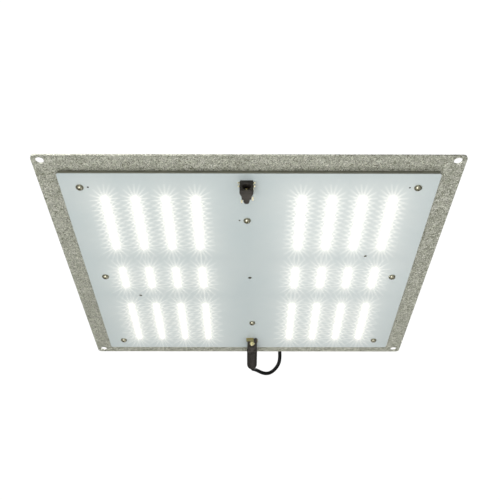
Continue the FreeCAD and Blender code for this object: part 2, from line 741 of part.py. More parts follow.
def save_lead():
    lead, length, radii = tube(list(LEAD_ROUTE), LEAD_R)
    save("dc_lead", lead)
    section = math.pi * LEAD_R ** 2
    print("dc_lead length", round(length, 1), "radii", [round(r, 1) for r in radii])
    print("dc_lead volume / (section x length)", round(lead.Volume / (section * length), 4))
    tail_long = GLAND_MOUTH - LEAD_TAIL_END
    save("dc_lead_tail", Part.makeCylinder(LEAD_R, tail_long, V(GLAND_X, LEAD_TAIL_END, GLAND_Z), FAR))


# ---------------------------------------------------------------- cable gland


def save_gland():
    thread_long = CAP_THICK + GLAND_LOCKNUT_THICK + GLAND_THREAD_PAST
    face = V(GLAND_X, CAP_FAR_FACE, GLAND_Z)
    inner_end = V(GLAND_X, CAP_FAR_FACE - thread_long, GLAND_Z)
    nut_base = V(GLAND_X, CAP_FAR_FACE + GLAND_HEX_THICK, GLAND_Z)
    thread = Part.makeCylinder(GLAND_THREAD_R, thread_long, inner_end, FAR)
    collar = hexagon(GLAND_HEX, GLAND_HEX_THICK, face, FAR)
    spigot = Part.makeCylinder(GLAND_SPIGOT_R, GLAND_SPIGOT_LONG, nut_base, FAR)
    bore_start = V(GLAND_X, LEAD_TAIL_END, GLAND_Z)
    bore = Part.makeCylinder(GLAND_BORE_R, GLAND_MOUTH - LEAD_TAIL_END, bore_start, FAR)
    save("gland_body", one([thread, collar, spigot]).cut(bore))

    grip = hexagon(GLAND_HEX, GLAND_SPIGOT_LONG, nut_base, FAR)
    dome = turned(GLAND_DOME, nut_base, FAR)
    pocket = Part.makeCylinder(GLAND_POCKET_R, GLAND_POCKET_DEEP, nut_base, FAR)
    mouth = Part.makeCylinder(GLAND_MOUTH_R, GLAND_NUT_LONG, nut_base, FAR)
    save("gland_nut", one([grip, dome]).cut([pocket, mouth]))

    save("gland_seal", turned(GLAND_SEAL, nut_base, FAR))

    lock_base = V(GLAND_X, CAP_FAR_FACE - CAP_THICK - GLAND_LOCKNUT_THICK, GLAND_Z)
    lock = hexagon(GLAND_LOCKNUT_HEX, GLAND_LOCKNUT_THICK, lock_base, FAR)
    lock.rotate(lock_base, FAR, GLAND_LOCKNUT_TURN)
    thread_hole = Part.makeCylinder(GLAND_THREAD_R + THREAD_GAP, GLAND_LOCKNUT_THICK, lock_base, FAR)
    save("gland_locknut", lock.cut(thread_hole))


# ---------------------------------------------------------------- driver housing


def driver_block(start, end, inset=0.0):
    """A rounded block with the driver's outline, from one Y to another, drawn in by inset."""
    half = DRIVER_WIDTH / 2 - inset
    low = V(DRIVER_X - half, start, DRIVER_BASE + inset)
    high = V(DRIVER_X + half, end, DRIVER_BASE + DRIVER_TALL - inset)
    shape = block(low, high)
    along = [e for e in shape.Edges if abs(e.tangentAt(e.FirstParameter).y) > 0.9]
    return shape.makeFillet(max(DRIVER_CORNER - inset, DRIVER_INNER_CORNER), along)


def boss_centres(y):
    """The four screw bosses' axes at one Y."""
    reach = DRIVER_WIDTH / 2 - BOSS_INSET
    low = DRIVER_BASE + BOSS_INSET
    high = DRIVER_BASE + DRIVER_TALL - BOSS_INSET
    return [V(DRIVER_X + side * reach, y, z) for side in (-1, 1) for z in (low, high)]


def boss_rods(radius, start, long):
    """Four rods on the screw bosses' axes."""
    return [Part.makeCylinder(radius, long, centre, FAR) for centre in boss_centres(start)]


def make_driver_housing():
    shell = driver_block(HOUSING_START, HOUSING_END)
    cavity = driver_block(HOUSING_START - CUT, HOUSING_END + CUT, DRIVER_WALL)
    solid = shell.cut(cavity)
    bosses = boss_rods(BOSS_R, HOUSING_START, DRIVER_LONG)
    inner_half = DRIVER_WIDTH / 2 - DRIVER_WALL
    rails = []
    for side in (-1, 1):
        wall = DRIVER_X + side * (inner_half + RAIL_ROOT)
        tip = DRIVER_X + side * (inner_half - RAIL_REACH)
        for z in (PCB_BOTTOM - RAIL_THICK, PCB_TOP):
            low = V(min(wall, tip), HOUSING_START, z)
            rails.append(block(low, V(max(wall, tip), HOUSING_END, z + RAIL_THICK)))
    solid = one([solid] + bosses + rails)
    cutters = boss_rods(BOSS_BORE_R, HOUSING_START - CUT, DRIVER_LONG + 2 * CUT)
    top = DRIVER_BASE + DRIVER_TALL
    for i in range(TOP_GROOVES):
        x = DRIVER_X + (i - (TOP_GROOVES - 1) / 2) * GROOVE_PITCH
        low = V(x - GROOVE_WIDE / 2, HOUSING_START - CUT, top - GROOVE_DEEP)
        cutters.append(block(low, V(x + GROOVE_WIDE / 2, HOUSING_END + CUT, top + CUT)))
    for side in (-1, 1):
        outer = DRIVER_X + side * (DRIVER_WIDTH / 2 + CUT)
        floor = DRIVER_X + side * (DRIVER_WIDTH / 2 - GROOVE_DEEP)
        for i in range(SIDE_GROOVES):
            z = DRIVER_MID + (i - (SIDE_GROOVES - 1) / 2) * GROOVE_PITCH
            low = V(min(outer, floor), HOUSING_START - CUT, z - GROOVE_WIDE / 2)
            cutters.append(block(low, V(max(outer, floor), HOUSING_END + CUT, z + GROOVE_WIDE / 2)))
    return solid.cut(cutters)


def end_cap(start, outward, screw):
    """An end cap's plate with its foot tab; start is the cap's lower Y, outward is -1 or 1."""
    cap = driver_block(start, start + CAP_THICK)
    face = start if outward < 0 else start + CAP_THICK
    edge = face + outward * TAB_LONG
    half = TAB_WIDE / 2
    inner = face - outward * CAP_THICK
    low = V(DRIVER_X - half, min(inner, edge), DRIVER_BASE)
    tab = block(low, V(DRIVER_X + half, max(inner, edge), DRIVER_BASE + TAB_THICK))
    upright = [e for e in tab.Edges if abs(e.tangentAt(e.FirstParameter).z) > 0.9]
    free_corners = [e for e in upright if abs(e.Vertexes[0].Point.y - edge) < TOUCH]
    tab = tab.makeFillet(TAB_CORNER, free_corners)
    holes = boss_rods(CAP_SCREW_CLEARANCE_R, start - CUT, CAP_THICK + 2 * CUT)
    straight = (TAB_SLOT_LONG - 2 * M3_CLEARANCE_R) / 2
    slot_top = DRIVER_BASE + TAB_THICK + CUT
    slot = block(V(screw.x - straight, screw.y - M3_CLEARANCE_R, 0),
                 V(screw.x + straight, screw.y + M3_CLEARANCE_R, slot_top))
    ends = [hole(screw + V(side * straight, 0, 0), M3_CLEARANCE_R, 0, slot_top) for side in (-1, 1)]
    return one([cap, tab]).cut(holes + [slot] + ends)


def make_end_gaskets():
    gaskets = []
    for start in (HOUSING_START - GASKET_THICK, HOUSING_END):
        sheet = driver_block(start, start + GASKET_THICK)
        before = start - CUT
        through = GASKET_THICK + 2 * CUT
        window = driver_block(before, before + through, DRIVER_WALL + GASKET_INSET)
        window = window.cut(boss_rods(BOSS_R + GASKET_BOSS_RIM, before, through))
        gaskets.append(sheet.cut([window] + boss_rods(CAP_SCREW_CLEARANCE_R, before, through)))
    return gaskets


def make_cap_screws():
    screw = domed_screw(CAP_SCREW_R, CAP_SCREW_LONG, CAP_SCREW_HEAD_R, CAP_SCREW_HEAD_TALL,
                        CAP_SCREW_HEAD_RIM, CAP_SCREW_RECESS)
    near = [placed(screw, c, FAR) for c in boss_centres(CAP_NEAR_FACE)]
    far = [placed(screw, c, NEAR) for c in boss_centres(CAP_FAR_FACE)]
    return near + far


# ---------------------------------------------------------------- mains inlet


def inlet_section(wide, tall, cut, start, long):
    """A block round the inlet's axis with its two lower corners cut, running along Y."""
    x = wide / 2
    z = tall / 2
    outline = [(-x + cut, -z), (x - cut, -z), (x, -z + cut), (x, z), (-x, z), (-x, -z + cut)]
    if cut == 0:
        outline = [(-x, -z), (x, -z), (x, z), (-x, z)]
    points = [V(DRIVER_X + px, start, INLET_Z + pz) for px, pz in outline]
    return Part.Face(Part.makePolygon(points + [points[0]])).extrude(V(0, long, 0))


def edges_at_y(shape, y):
    """The edges that lie wholly at one Y."""
    return [e for e in shape.Edges if all(abs(vertex.Point.y - y) < TOUCH for vertex in e.Vertexes)]


def save_inlet():
    front = CAP_NEAR_FACE - INLET_FLANGE_THICK
    flange = inlet_section(INLET_FLANGE_WIDE, INLET_FLANGE_TALL, 0, front, INLET_FLANGE_THICK)
    flange = flange.makeChamfer(INLET_FLANGE_CHAMFER, edges_at_y(flange, front))
    body = inlet_section(INLET_BODY_WIDE, INLET_BODY_TALL, 0, CAP_NEAR_FACE, INLET_BODY_DEEP)
    cavity = inlet_section(INLET_CAVITY_WIDE, INLET_CAVITY_TALL, INLET_CAVITY_CUT, front - CUT,
                           INLET_CAVITY_DEEP + CUT)
    back = CAP_NEAR_FACE + INLET_BODY_DEEP
    pins = []
    for px, pz in INLET_PINS:
        centre_x = DRIVER_X + px
        centre_z = INLET_Z + pz
        low = V(centre_x - INLET_PIN_WIDE / 2, front + INLET_PIN_TIP, centre_z - INLET_PIN_TALL / 2)
        high = V(centre_x + INLET_PIN_WIDE / 2, back + INLET_PIN_TAIL, centre_z + INLET_PIN_TALL / 2)
        pin = block(low, high)
        pins.append(pin.makeChamfer(INLET_PIN_CHAMFER, edges_at_y(pin, low.y)))
    solid = one([flange, body]).cut([cavity] + pins)
    save("mains_inlet_body", solid)
    save("mains_inlet_pins", pins)


def inlet_window():
    """The opening that the inlet's body needs in the near end cap."""
    wide = INLET_BODY_WIDE + FIT_GAP
    tall = INLET_BODY_TALL + FIT_GAP
    return inlet_section(wide, tall, 0, CAP_NEAR_FACE - CUT, CAP_THICK + 2 * CUT)


# ---------------------------------------------------------------- driver electronics


def on_board(place, height=0.0):
    """A point over the circuit board's upper face, its X and Y from the driver's own centre."""
    return V(DRIVER_X + place[0], DRIVER_Y + place[1], PCB_TOP + height)


def standing_can(x, y, radius, tall):
    """An electrolytic capacitor standing on the board, with its crimp groove."""
    eased = radius - CAN_EASE
    outline = [(0, 0), (eased, 0), (radius, CAN_EASE), (radius, CAN_GROOVE_TALL - CAN_EASE),
               (eased, CAN_GROOVE_TALL), (radius, CAN_GROOVE_TALL + CAN_EASE), (radius, tall - CAN_EASE),
               (eased, tall), (0, tall)]
    return turned(outline, on_board((x, y)), UP)


def power_device(y):
    """A flat transistor case beside the heat spreader, on three legs."""
    low = on_board((SPREADER_TO[0], y - DEVICE_SIZE.y / 2), DEVICE_LEG_LONG)
    leg_end = DEVICE_LEG_FROM + DEVICE_LEG_THICK
    legs = [block(low + V(DEVICE_LEG_FROM, leg - DEVICE_LEG_HALF, -DEVICE_LEG_LONG),
                  low + V(leg_end, leg + DEVICE_LEG_HALF, 0)) for leg in DEVICE_LEGS]
    return one([block(low, low + DEVICE_SIZE)] + legs)


def save_electronics():
    half = DRIVER_WIDTH / 2 - DRIVER_WALL - FIT_GAP
    board = block(V(DRIVER_X - half, PCB_START, PCB_BOTTOM), V(DRIVER_X + half, PCB_END, PCB_TOP))
    save("driver_pcb", board)
    save("electrolytic_capacitors", [standing_can(*can) for can in CANS])
    save_transformer()
    save_choke()
    film = block(on_board(FILM_FROM), on_board(FILM_TO, FILM_TALL))
    save("film_capacitor", film.makeFillet(FILM_EDGE, film.Edges))
    save("fuse", turned(FUSE_OUTLINE, on_board(FUSE_AT), UP))
    save("heat_spreader", block(on_board(SPREADER_FROM), on_board(SPREADER_TO, SPREADER_TALL)))
    save("power_devices", [power_device(y) for y in DEVICE_ROWS])
    save_inner_wires()


def save_transformer():
    """Ferrite core round a taped winding."""
    base = on_board(CORE_AT, CORE_LIFT)
    x = CORE_HALF_X
    y = CORE_HALF_Y
    window_x = x - CORE_LIMB
    window_top = CORE_TALL - CORE_LIMB
    outer = block(base + V(-x, -y, 0), base + V(x, y, CORE_TALL))
    window = block(base + V(-window_x, -y - CUT, CORE_LIMB), base + V(window_x, y + CUT, window_top))
    post = Part.makeCylinder(CORE_POST_R, window_top - CORE_LIMB, base + V(0, 0, CORE_LIMB))
    core = one([outer.cut(window), post])
    seams = []
    for side in (-1, 1):
        outside = side * (x + CUT)
        floor = side * (x - CORE_SEAM_DEEP)
        low = base + V(min(outside, floor), -y - CUT, CORE_SEAM_AT)
        high = base + V(max(outside, floor), y + CUT, CORE_SEAM_AT + CORE_SEAM_TALL)
        seams.append(block(low, high))
    save("transformer_core", core.cut(seams))
    winding_long = window_top - CORE_LIMB - 2 * WINDING_GAP
    winding_base = base + V(0, 0, CORE_LIMB + WINDING_GAP)
    winding = ring(WINDING_R, WINDING_BORE_R, winding_long, winding_base, UP)
    foot_low = base + V(-BOBBIN_HALF_X, -BOBBIN_HALF_Y, -CORE_LIFT)
    save("transformer_winding", [winding, block(foot_low, base + V(BOBBIN_HALF_X, BOBBIN_HALF_Y, 0))])


def choke_turn(angle):
    """One square turn round the ring, at the origin, turned to its place about X."""
    low = V(-CHOKE_WIDE / 2 - CHOKE_GAP, -CHOKE_WIRE / 2, CHOKE_INNER_R - CHOKE_GAP)
    high = V(CHOKE_WIDE / 2 + CHOKE_GAP, CHOKE_WIRE / 2, CHOKE_OUTER_R + CHOKE_GAP)
    rim = V(CHOKE_WIRE, 0, CHOKE_WIRE)
    turn = block(low - rim, high + rim).cut(block(low - FAR, high + FAR))
    turn.rotate(V(0, 0, 0), V(1, 0, 0), angle)
    return turn


def save_choke():
    """Toroid standing on edge, with two windings of separate turns."""
    centre = on_board(CHOKE_AT, CHOKE_OUTER_R + CHOKE_GAP + CHOKE_WIRE)
    core_start = centre - V(CHOKE_WIDE / 2, 0, 0)
    save("choke_core", ring(CHOKE_OUTER_R, CHOKE_INNER_R, CHOKE_WIDE, core_start, V(1, 0, 0)))
    steps = [(i - (CHOKE_TURNS - 1) / 2) * CHOKE_TURN_STEP for i in range(CHOKE_TURNS)]
    angles = [middle + step for middle in (90, 270) for step in steps]
    save("choke_windings", [choke_turn(angle).translated(centre) for angle in angles])


def hook_up_wire(start, shape, outward, side):
    """A wire from an end at start, along Y outward, sideways a little and down to the circuit board."""
    radius, straight, reach, drop, step = shape
    bend = start + V(0, outward * straight, 0)
    over = start + V(side * step, outward * reach, -drop)
    foot = V(over.x, over.y, PCB_TOP)
    return tube([start, bend, over, foot], radius)[0]


def save_inner_wires():
    """Two wires from the inlet to the board and two from the board to the lead's tail."""
    wires = []
    back = CAP_NEAR_FACE + INLET_BODY_DEEP + INLET_PIN_TAIL
    for px, pz in INLET_PINS[:2]:
        start = V(DRIVER_X + px, back, INLET_Z + pz)
        wires.append(hook_up_wire(start, INLET_WIRE, 1, 1 if px > 0 else -1))
    for side in (-1, 1):
        start = V(GLAND_X + side * OUTPUT_WIRE_APART, LEAD_TAIL_END, GLAND_Z)
        wires.append(hook_up_wire(start, OUTPUT_WIRE, -1, side))
    save("inner_wires", wires)


# ---------------------------------------------------------------- everything


def main():
    os.makedirs("parts", exist_ok=True)
    save("reflector_plate", make_reflector_plate())
    save("thermal_pad", make_thermal_pad())
    save("led_board", make_led_board())
    save_led_columns()
    save_m3_sets()
    output_place = jack_placement(JACK_OUTPUT, False)
    output_tabs = [rear_tab(JACK_STEM_HALF, OUTPUT_FOOT_LONG)] + side_tabs(OUTPUT_TABS)
    save_jack("output_jack", output_place, output_jack_housing(), output_tabs)
    input_place = jack_placement(JACK_INPUT, True)
    input_tabs = [rear_tab(INPUT_BAR_REACH, JACK_TAIL_END - JACK_BODY_END)] + side_tabs(INPUT_TABS)
    save_jack("input_jack", input_place, input_jack_housing(), input_tabs)
    save_plug()
    save_lead()
    save_gland()
    save("driver_housing", make_driver_housing())
    near_cap = end_cap(CAP_NEAR_FACE, -1, DRIVER_SCREWS[0]).cut(inlet_window())
    save("end_cap_inlet", near_cap)
    gland_start = V(GLAND_X, CAP_FAR_FACE - CAP_THICK - CUT, GLAND_Z)
    gland_hole = Part.makeCylinder(GLAND_THREAD_R + FIT_GAP / 2, CAP_THICK + 2 * CUT, gland_start, FAR)
    save("end_cap_output", end_cap(CAP_FAR_FACE - CAP_THICK, 1, DRIVER_SCREWS[1]).cut(gland_hole))
    save("end_gaskets", make_end_gaskets())
    save("end_cap_screws", make_cap_screws())
    save_inlet()
    save_electronics()


main()
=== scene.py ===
import json
import math

import bmesh
import bpy
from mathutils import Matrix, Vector, noise


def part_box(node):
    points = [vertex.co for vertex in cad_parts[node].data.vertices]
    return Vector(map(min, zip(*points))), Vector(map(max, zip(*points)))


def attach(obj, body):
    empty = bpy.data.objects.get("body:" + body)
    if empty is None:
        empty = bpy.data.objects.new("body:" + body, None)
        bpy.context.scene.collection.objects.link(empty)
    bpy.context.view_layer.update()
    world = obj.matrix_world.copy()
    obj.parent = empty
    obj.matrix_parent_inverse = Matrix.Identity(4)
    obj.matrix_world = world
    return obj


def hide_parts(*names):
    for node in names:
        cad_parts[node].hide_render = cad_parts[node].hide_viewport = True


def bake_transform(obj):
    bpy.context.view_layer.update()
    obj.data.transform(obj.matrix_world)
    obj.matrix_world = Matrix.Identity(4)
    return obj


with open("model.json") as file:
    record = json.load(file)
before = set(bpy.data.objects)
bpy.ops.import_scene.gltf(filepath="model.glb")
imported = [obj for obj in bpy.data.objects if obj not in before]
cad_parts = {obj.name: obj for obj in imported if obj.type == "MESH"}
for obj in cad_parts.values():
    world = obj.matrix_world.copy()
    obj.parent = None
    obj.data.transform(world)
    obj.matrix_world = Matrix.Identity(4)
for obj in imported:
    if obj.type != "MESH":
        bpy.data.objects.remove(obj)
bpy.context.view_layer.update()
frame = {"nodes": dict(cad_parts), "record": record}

# Hanging LED grow light, metres, in the CAD frame: X along the long edge, Y from the near edge to the far
# edge, Z up. The LEDs are on the underside, so the camera looks up at it from in front and below.

MM = 0.001
WELD_WITHIN = 0.002 * MM
NODES = frame["nodes"]
SCENE = bpy.context.scene

# Camera
CAMERA_PLACE = Vector((0.0, -0.4843, -0.3595))
CAMERA_TILT = math.radians(38.53)
CAMERA_TURN = math.radians(0.128)
CAMERA_LENS = 46.87

# Studio: powers in watts, places in metres
FLOOR_Z = -0.95
FLOOR_HALF = 9.0
FLOOR_GLOW = 0.5
WORLD_LIGHT = 0.13
WORLD_SEEN = 1.05
LIGHTS = (  # name, place, target, size, power, colour
    ("key_below", (-0.20, -0.28, -0.80), (0.0, 0.0, 0.0), 0.42, 2.2, (0.97, 0.985, 1.0)),
    ("front_fill", (-0.15, -1.30, -0.60), (0.0, 0.0, 0.0), 0.6, 2.5, (1.0, 1.0, 1.0)),
    ("fill_below", (0.30, 0.75, -0.75), (0.0, 0.05, 0.0), 0.5, 1.15, (1.0, 1.0, 1.0)),
    ("soft_above", (-0.7, -0.6, 1.3), (0.0, 0.0, 0.0), 1.2, 32.0, (1.0, 1.0, 1.0)),
    ("rim_above", (0.9, 0.9, 1.0), (0.0, 0.0, 0.0), 0.8, 15.0, (1.0, 1.0, 1.0)),
)

# The lens's stars: brighter than this makes rays, in 16 directions
STAR_THRESHOLD = 9.0
STAR_RAYS = 16
STAR_TINT = (1.0, 0.92, 0.82, 1.0)
STAR_PASSES = ((0.095, 2, 0.88), (0.012, 3, 0.92))  # strength, iterations, fade

# The lead's route, from the gland's mouth over the plate's far edge and round to the plug's boot
LEAD_RADIUS = 2.0 * MM
LEAD_ROUTE = (
    (0.0190, 0.0895, 0.0185),
    (0.0190, 0.1005, 0.0185),
    (0.0222, 0.1145, 0.0182),
    (0.0282, 0.1295, 0.0175),
    (0.0332, 0.1473, 0.0170),
    (0.0346, 0.1622, 0.0160),
    (0.0360, 0.1755, 0.0117),
    (0.0348, 0.1826, 0.0037),
    (0.0269, 0.1862, -0.0046),
    (0.0181, 0.1842, -0.0079),
    (0.0074, 0.1772, -0.0057),
    (0.0036, 0.1684, -0.0101),
    (0.0036, 0.1612, -0.0101),
)
LEAD_SIDES = 24

# Reflector plate
PLATE_CORNER = 3.5 * MM
STUCCO_PITCH = 1.5 * MM
STUCCO_DEPTH = 0.30 * MM
STUCCO_SCALE = 4.2 * MM
STUCCO_SEED = 7.0
STUCCO_SHARP = 2.6  # how narrow its ridges are
STUCCO_WANDER = 0.9
STUCCO_WARP_SCALE = 0.6
HANG_HOLE = 3.3 * MM
HANG_INSET = Vector((6.5 * MM, 5.5 * MM))
HOLE_FLAT = 0.45 * MM
HOLE_EASE = 0.12 * MM
SCREW_HOLE = 1.7 * MM

# LED board
LED_COLUMNS = range(1, 9)
GROUP_GAP = 1.2  # of the row pitch: a wider step starts a new group
# GLOW_NEAR and GLOW_WIDE shape the painted glow that the board mask emits round the LED rows.
GLOW_NEAR = 1.5 * MM  # the two glows' fall-off lengths
GLOW_WIDE = 16.0 * MM
EDGE_FROM = 0.40 * MM  # heights above the board's lit face, where its cut edge changes colour
CORE_FROM = 0.55 * MM
CORE_TO = 0.75 * MM
SOLDER_WIDE = 0.55 * MM
SOLDER_TALL = 0.38 * MM
SOLDER_SHOULDER = 0.14 * MM
SOLDER_SHOULDER_TALL = 0.45  # of the fillet's height
SOLDER_TOE = 0.04 * MM
SOLDER_HALF = 0.36  # of the package's width
DIE_WIDE = 1.4 * MM
DIE_TALL = 0.03 * MM
DIE_LIGHT = 70.0  # bright enough to pass the stars' threshold
POUR_WIDE = 9.0 * MM
POUR_GAP = 0.7 * MM
POUR_TALL = 0.045 * MM
POUR_CUT = 1.0 * MM
ROW_SLACK = 0.1 * MM
TEST_POINT_RADIUS = 0.75 * MM
TEST_POINT_TALL = 0.07 * MM
TEST_POINT_SIDES = 20
TEST_POINT_BESIDE = 6.4 * MM
TEST_POINT_BESIDE_DRIVER = 6.3 * MM

# Plug's grip
BOOT_SKIN = 0.02 * MM
BOOT_STATIONS = 150
BOOT_SIDES = 48
BOOT_END = 3.5 * MM
BOOT_ROUNDING = 4.6 * MM
BOOT_COLLAR_EASE = 0.5 * MM
BOOT_GROOVES = (0.07, 0.79)  # of the grip's length, from the jack
BOOT_GROOVE_DEEP = 0.30 * MM
BOOT_GROOVE_WIDE = 0.35 * MM
BOOT_FLAT = 0.93  # height of the flattened sides, of the full radius


# ---------------------------------------------------------------- materials


def new_material(name):
    """A material with one Principled shader, and its node tree."""
    material = bpy.data.materials.new(name)
    material.use_nodes = True
    tree = material.node_tree
    return material, tree, tree.nodes["Principled BSDF"]


def add_node(tree, kind, **inputs):
    """A node with its sockets set by name; an underscore in the name stands for a space."""
    node = tree.nodes.new(kind)
    for name, value in inputs.items():
        node.inputs[name.replace("_", " ")].default_value = value
    return node


def object_place(tree):
    """The point on the surface, in metres in the row frame."""
    return tree.nodes.new("ShaderNodeTexCoord").outputs["Object"]


def noise_of(tree, place, scale, detail=3.0, roughness=0.55, distortion=0.0):
    """Noise with features of about 1/scale metres, from 0 to 1."""
    node = add_node(tree, "ShaderNodeTexNoise", Scale=scale, Detail=detail, Roughness=roughness,
                    Distortion=distortion)
    tree.links.new(place, node.inputs["Vector"])
    return node.outputs["Fac"]


def ramp_of(tree, value, stops):
    """A colour ramp; stops are (position, (r, g, b))."""
    node = tree.nodes.new("ShaderNodeValToRGB")
    ramp = node.color_ramp
    while len(ramp.elements) < len(stops):
        ramp.elements.new(0.5)
    for element, (position, colour) in zip(ramp.elements, stops):
        element.position = position
        element.color = (*colour, 1.0)
    tree.links.new(value, node.inputs["Fac"])
    return node.outputs["Color"]


def maths(tree, operation, first, second=None, third=None):
    """One Math node; each operand is a socket or a number."""
    node = tree.nodes.new("ShaderNodeMath")
    node.operation = operation
    for socket, operand in zip(node.inputs, (first, second, third)):
        if operand is None:
            continue
        if isinstance(operand, (int, float)):
            socket.default_value = operand
        else:
            tree.links.new(operand, socket)
    return node.outputs["Value"]


def remap(tree, value, low, high, to_low, to_high):
    """Value from low..high moved to to_low..to_high, and kept inside it."""
    node = add_node(tree, "ShaderNodeMapRange")
    for socket, number in zip(list(node.inputs)[1:5], (low, high, to_low, to_high)):
        socket.default_value = number
    tree.links.new(value, node.inputs["Value"])
    return node.outputs["Result"]


def scaled(colour, factor):
    """A colour made darker or lighter."""
    return tuple(min(1.0, c * factor) for c in colour)


def mix_colours(tree, factor, first, second, blend="MIX"):
    """Two colours mixed; each is a socket or (r, g, b), and the factor is a socket or a number."""
    node = tree.nodes.new("ShaderNodeMix")
    node.data_type = "RGBA"
    node.blend_type = blend
    sockets = {s.identifier: s for s in node.inputs}
    if isinstance(factor, float):
        sockets["Factor_Float"].default_value = factor
    else:
        tree.links.new(factor, sockets["Factor_Float"])
    for name, colour in (("A_Color", first), ("B_Color", second)):
        if isinstance(colour, tuple):
            sockets[name].default_value = (*colour, 1.0)
        else:
            tree.links.new(colour, sockets[name])
    return next(s for s in node.outputs if s.identifier == "Result_Color")


def bump(tree, shader, height, distance, strength):
    """A bump from a height of 0 to 1, distance metres deep."""
    node = add_node(tree, "ShaderNodeBump", Strength=strength, Distance=distance)
    tree.links.new(height, node.inputs["Height"])
    tree.links.new(node.outputs["Normal"], shader.inputs["Normal"])


def moulded_plastic(name, colour, roughness=0.45, spread=0.25, shine=0.5):
    """Black or coloured moulded plastic: fine spark-eroded grain, faint flow marks and rubbed patches."""
    material, tree, shader = new_material(name)
    place = object_place(tree)
    flow = noise_of(tree, place, 90.0, detail=4.0)
    lighter = tuple(min(1.0, c * (1.0 + spread) + 0.004) for c in colour)
    tree.links.new(ramp_of(tree, flow, ((0.3, scaled(colour, 1.0 - spread)), (0.7, lighter))),
                   shader.inputs["Base Color"])
    shader.inputs["Specular IOR Level"].default_value = shine
    rubbed = noise_of(tree, place, 260.0, detail=2.0)
    rough = remap(tree, rubbed, 0.3, 0.7, roughness - 0.07, roughness + 0.09)
    tree.links.new(rough, shader.inputs["Roughness"])
    bump(tree, shader, noise_of(tree, place, 3500.0, detail=2.0), 0.06 * MM, 0.5)
    return material


def streaks_of(tree, place, factors):
    """Noise with its own scale along each axis, so that it runs in streaks along the smallest."""
    stretch = tree.nodes.new("ShaderNodeVectorMath")
    stretch.operation = "MULTIPLY"
    stretch.inputs[1].default_value = factors
    tree.links.new(place, stretch.inputs[0])
    return noise_of(tree, stretch.outputs["Vector"], 1.0)


def brushed_metal(name, colour, roughness, along=0):
    """Metal with fine streaks along one axis, and tone that drifts a little."""
    material, tree, shader = new_material(name)
    place = object_place(tree)
    factors = [2600.0, 2600.0, 2600.0]
    factors[along] = 60.0
    streaks = streaks_of(tree, place, factors)
    drift = noise_of(tree, place, 60.0)
    tone = maths(tree, "MULTIPLY_ADD", streaks, 0.6, maths(tree, "MULTIPLY", drift, 0.4))
    tree.links.new(ramp_of(tree, tone, ((0.35, scaled(colour, 0.86)), (0.65, scaled(colour, 1.1)))),
                   shader.inputs["Base Color"])
    shader.inputs["Metallic"].default_value = 1.0
    rough = remap(tree, streaks, 0.3, 0.7, roughness - 0.05, roughness + 0.08)
    tree.links.new(rough, shader.inputs["Roughness"])
    bump(tree, shader, streaks, 0.03 * MM, 0.35)
    return material


def anodised(name, colour):
    """Dark anodised extrusion: die lines along Y, a satin sheen, and lighter rubbed high spots."""
    material, tree, shader = new_material(name)
    place = object_place(tree)
    die_lines = streaks_of(tree, place, (1500.0, 9.0, 1500.0))
    cloud = noise_of(tree, place, 45.0, detail=5.0)
    tone = maths(tree, "MULTIPLY_ADD", die_lines, 0.5, maths(tree, "MULTIPLY", cloud, 0.5))
    tree.links.new(ramp_of(tree, tone, ((0.36, scaled(colour, 0.75)), (0.64, scaled(colour, 1.35)))),
                   shader.inputs["Base Color"])
    shader.inputs["Metallic"].default_value = 0.75
    tree.links.new(remap(tree, cloud, 0.3, 0.7, 0.34, 0.5), shader.inputs["Roughness"])
    bump(tree, shader, die_lines, 0.03 * MM, 0.5)
    return material


def stucco_metal():
    """Stucco-embossed sheet in a warm grey coat: wrinkles, with painted highlights on the ridges and painted
    shade in the hollows.
    """
    material, tree, shader = new_material("stucco_metal")
    place = object_place(tree)
    bent = noise_of(tree, place, 240.0, detail=2.0)
    wrinkle = noise_of(tree, place, 470.0, detail=2.0, roughness=0.55, distortion=1.6)
    pits = noise_of(tree, place, 1400.0, detail=2.0)
    ridge = maths(tree, "ABSOLUTE", maths(tree, "SUBTRACT", wrinkle, 0.5))
    ridge = remap(tree, ridge, 0.0, 0.13, 1.0, 0.0)
    height = maths(tree, "MULTIPLY_ADD", pits, 0.22, ridge)
    # Painted highlight and shade: the colour runs from dark in the hollows to pale on the ridges, following
    # the relief's height.
    colour = ramp_of(tree, ridge, ((0.0, (0.260, 0.262, 0.200)), (0.4, (0.410, 0.412, 0.340)),
                                   (1.0, (0.950, 0.940, 0.840))))
    stain = ramp_of(tree, bent, ((0.35, (0.93, 0.95, 0.90)), (0.65, (1.0, 1.0, 1.0))))
    tree.links.new(mix_colours(tree, 1.0, colour, stain, "MULTIPLY"), shader.inputs["Base Color"])
    shader.inputs["Metallic"].default_value = 0.55
    tree.links.new(remap(tree, pits, 0.3, 0.7, 0.34, 0.52), shader.inputs["Roughness"])
    bump(tree, shader, height, 0.25 * MM, 0.8)
    return material


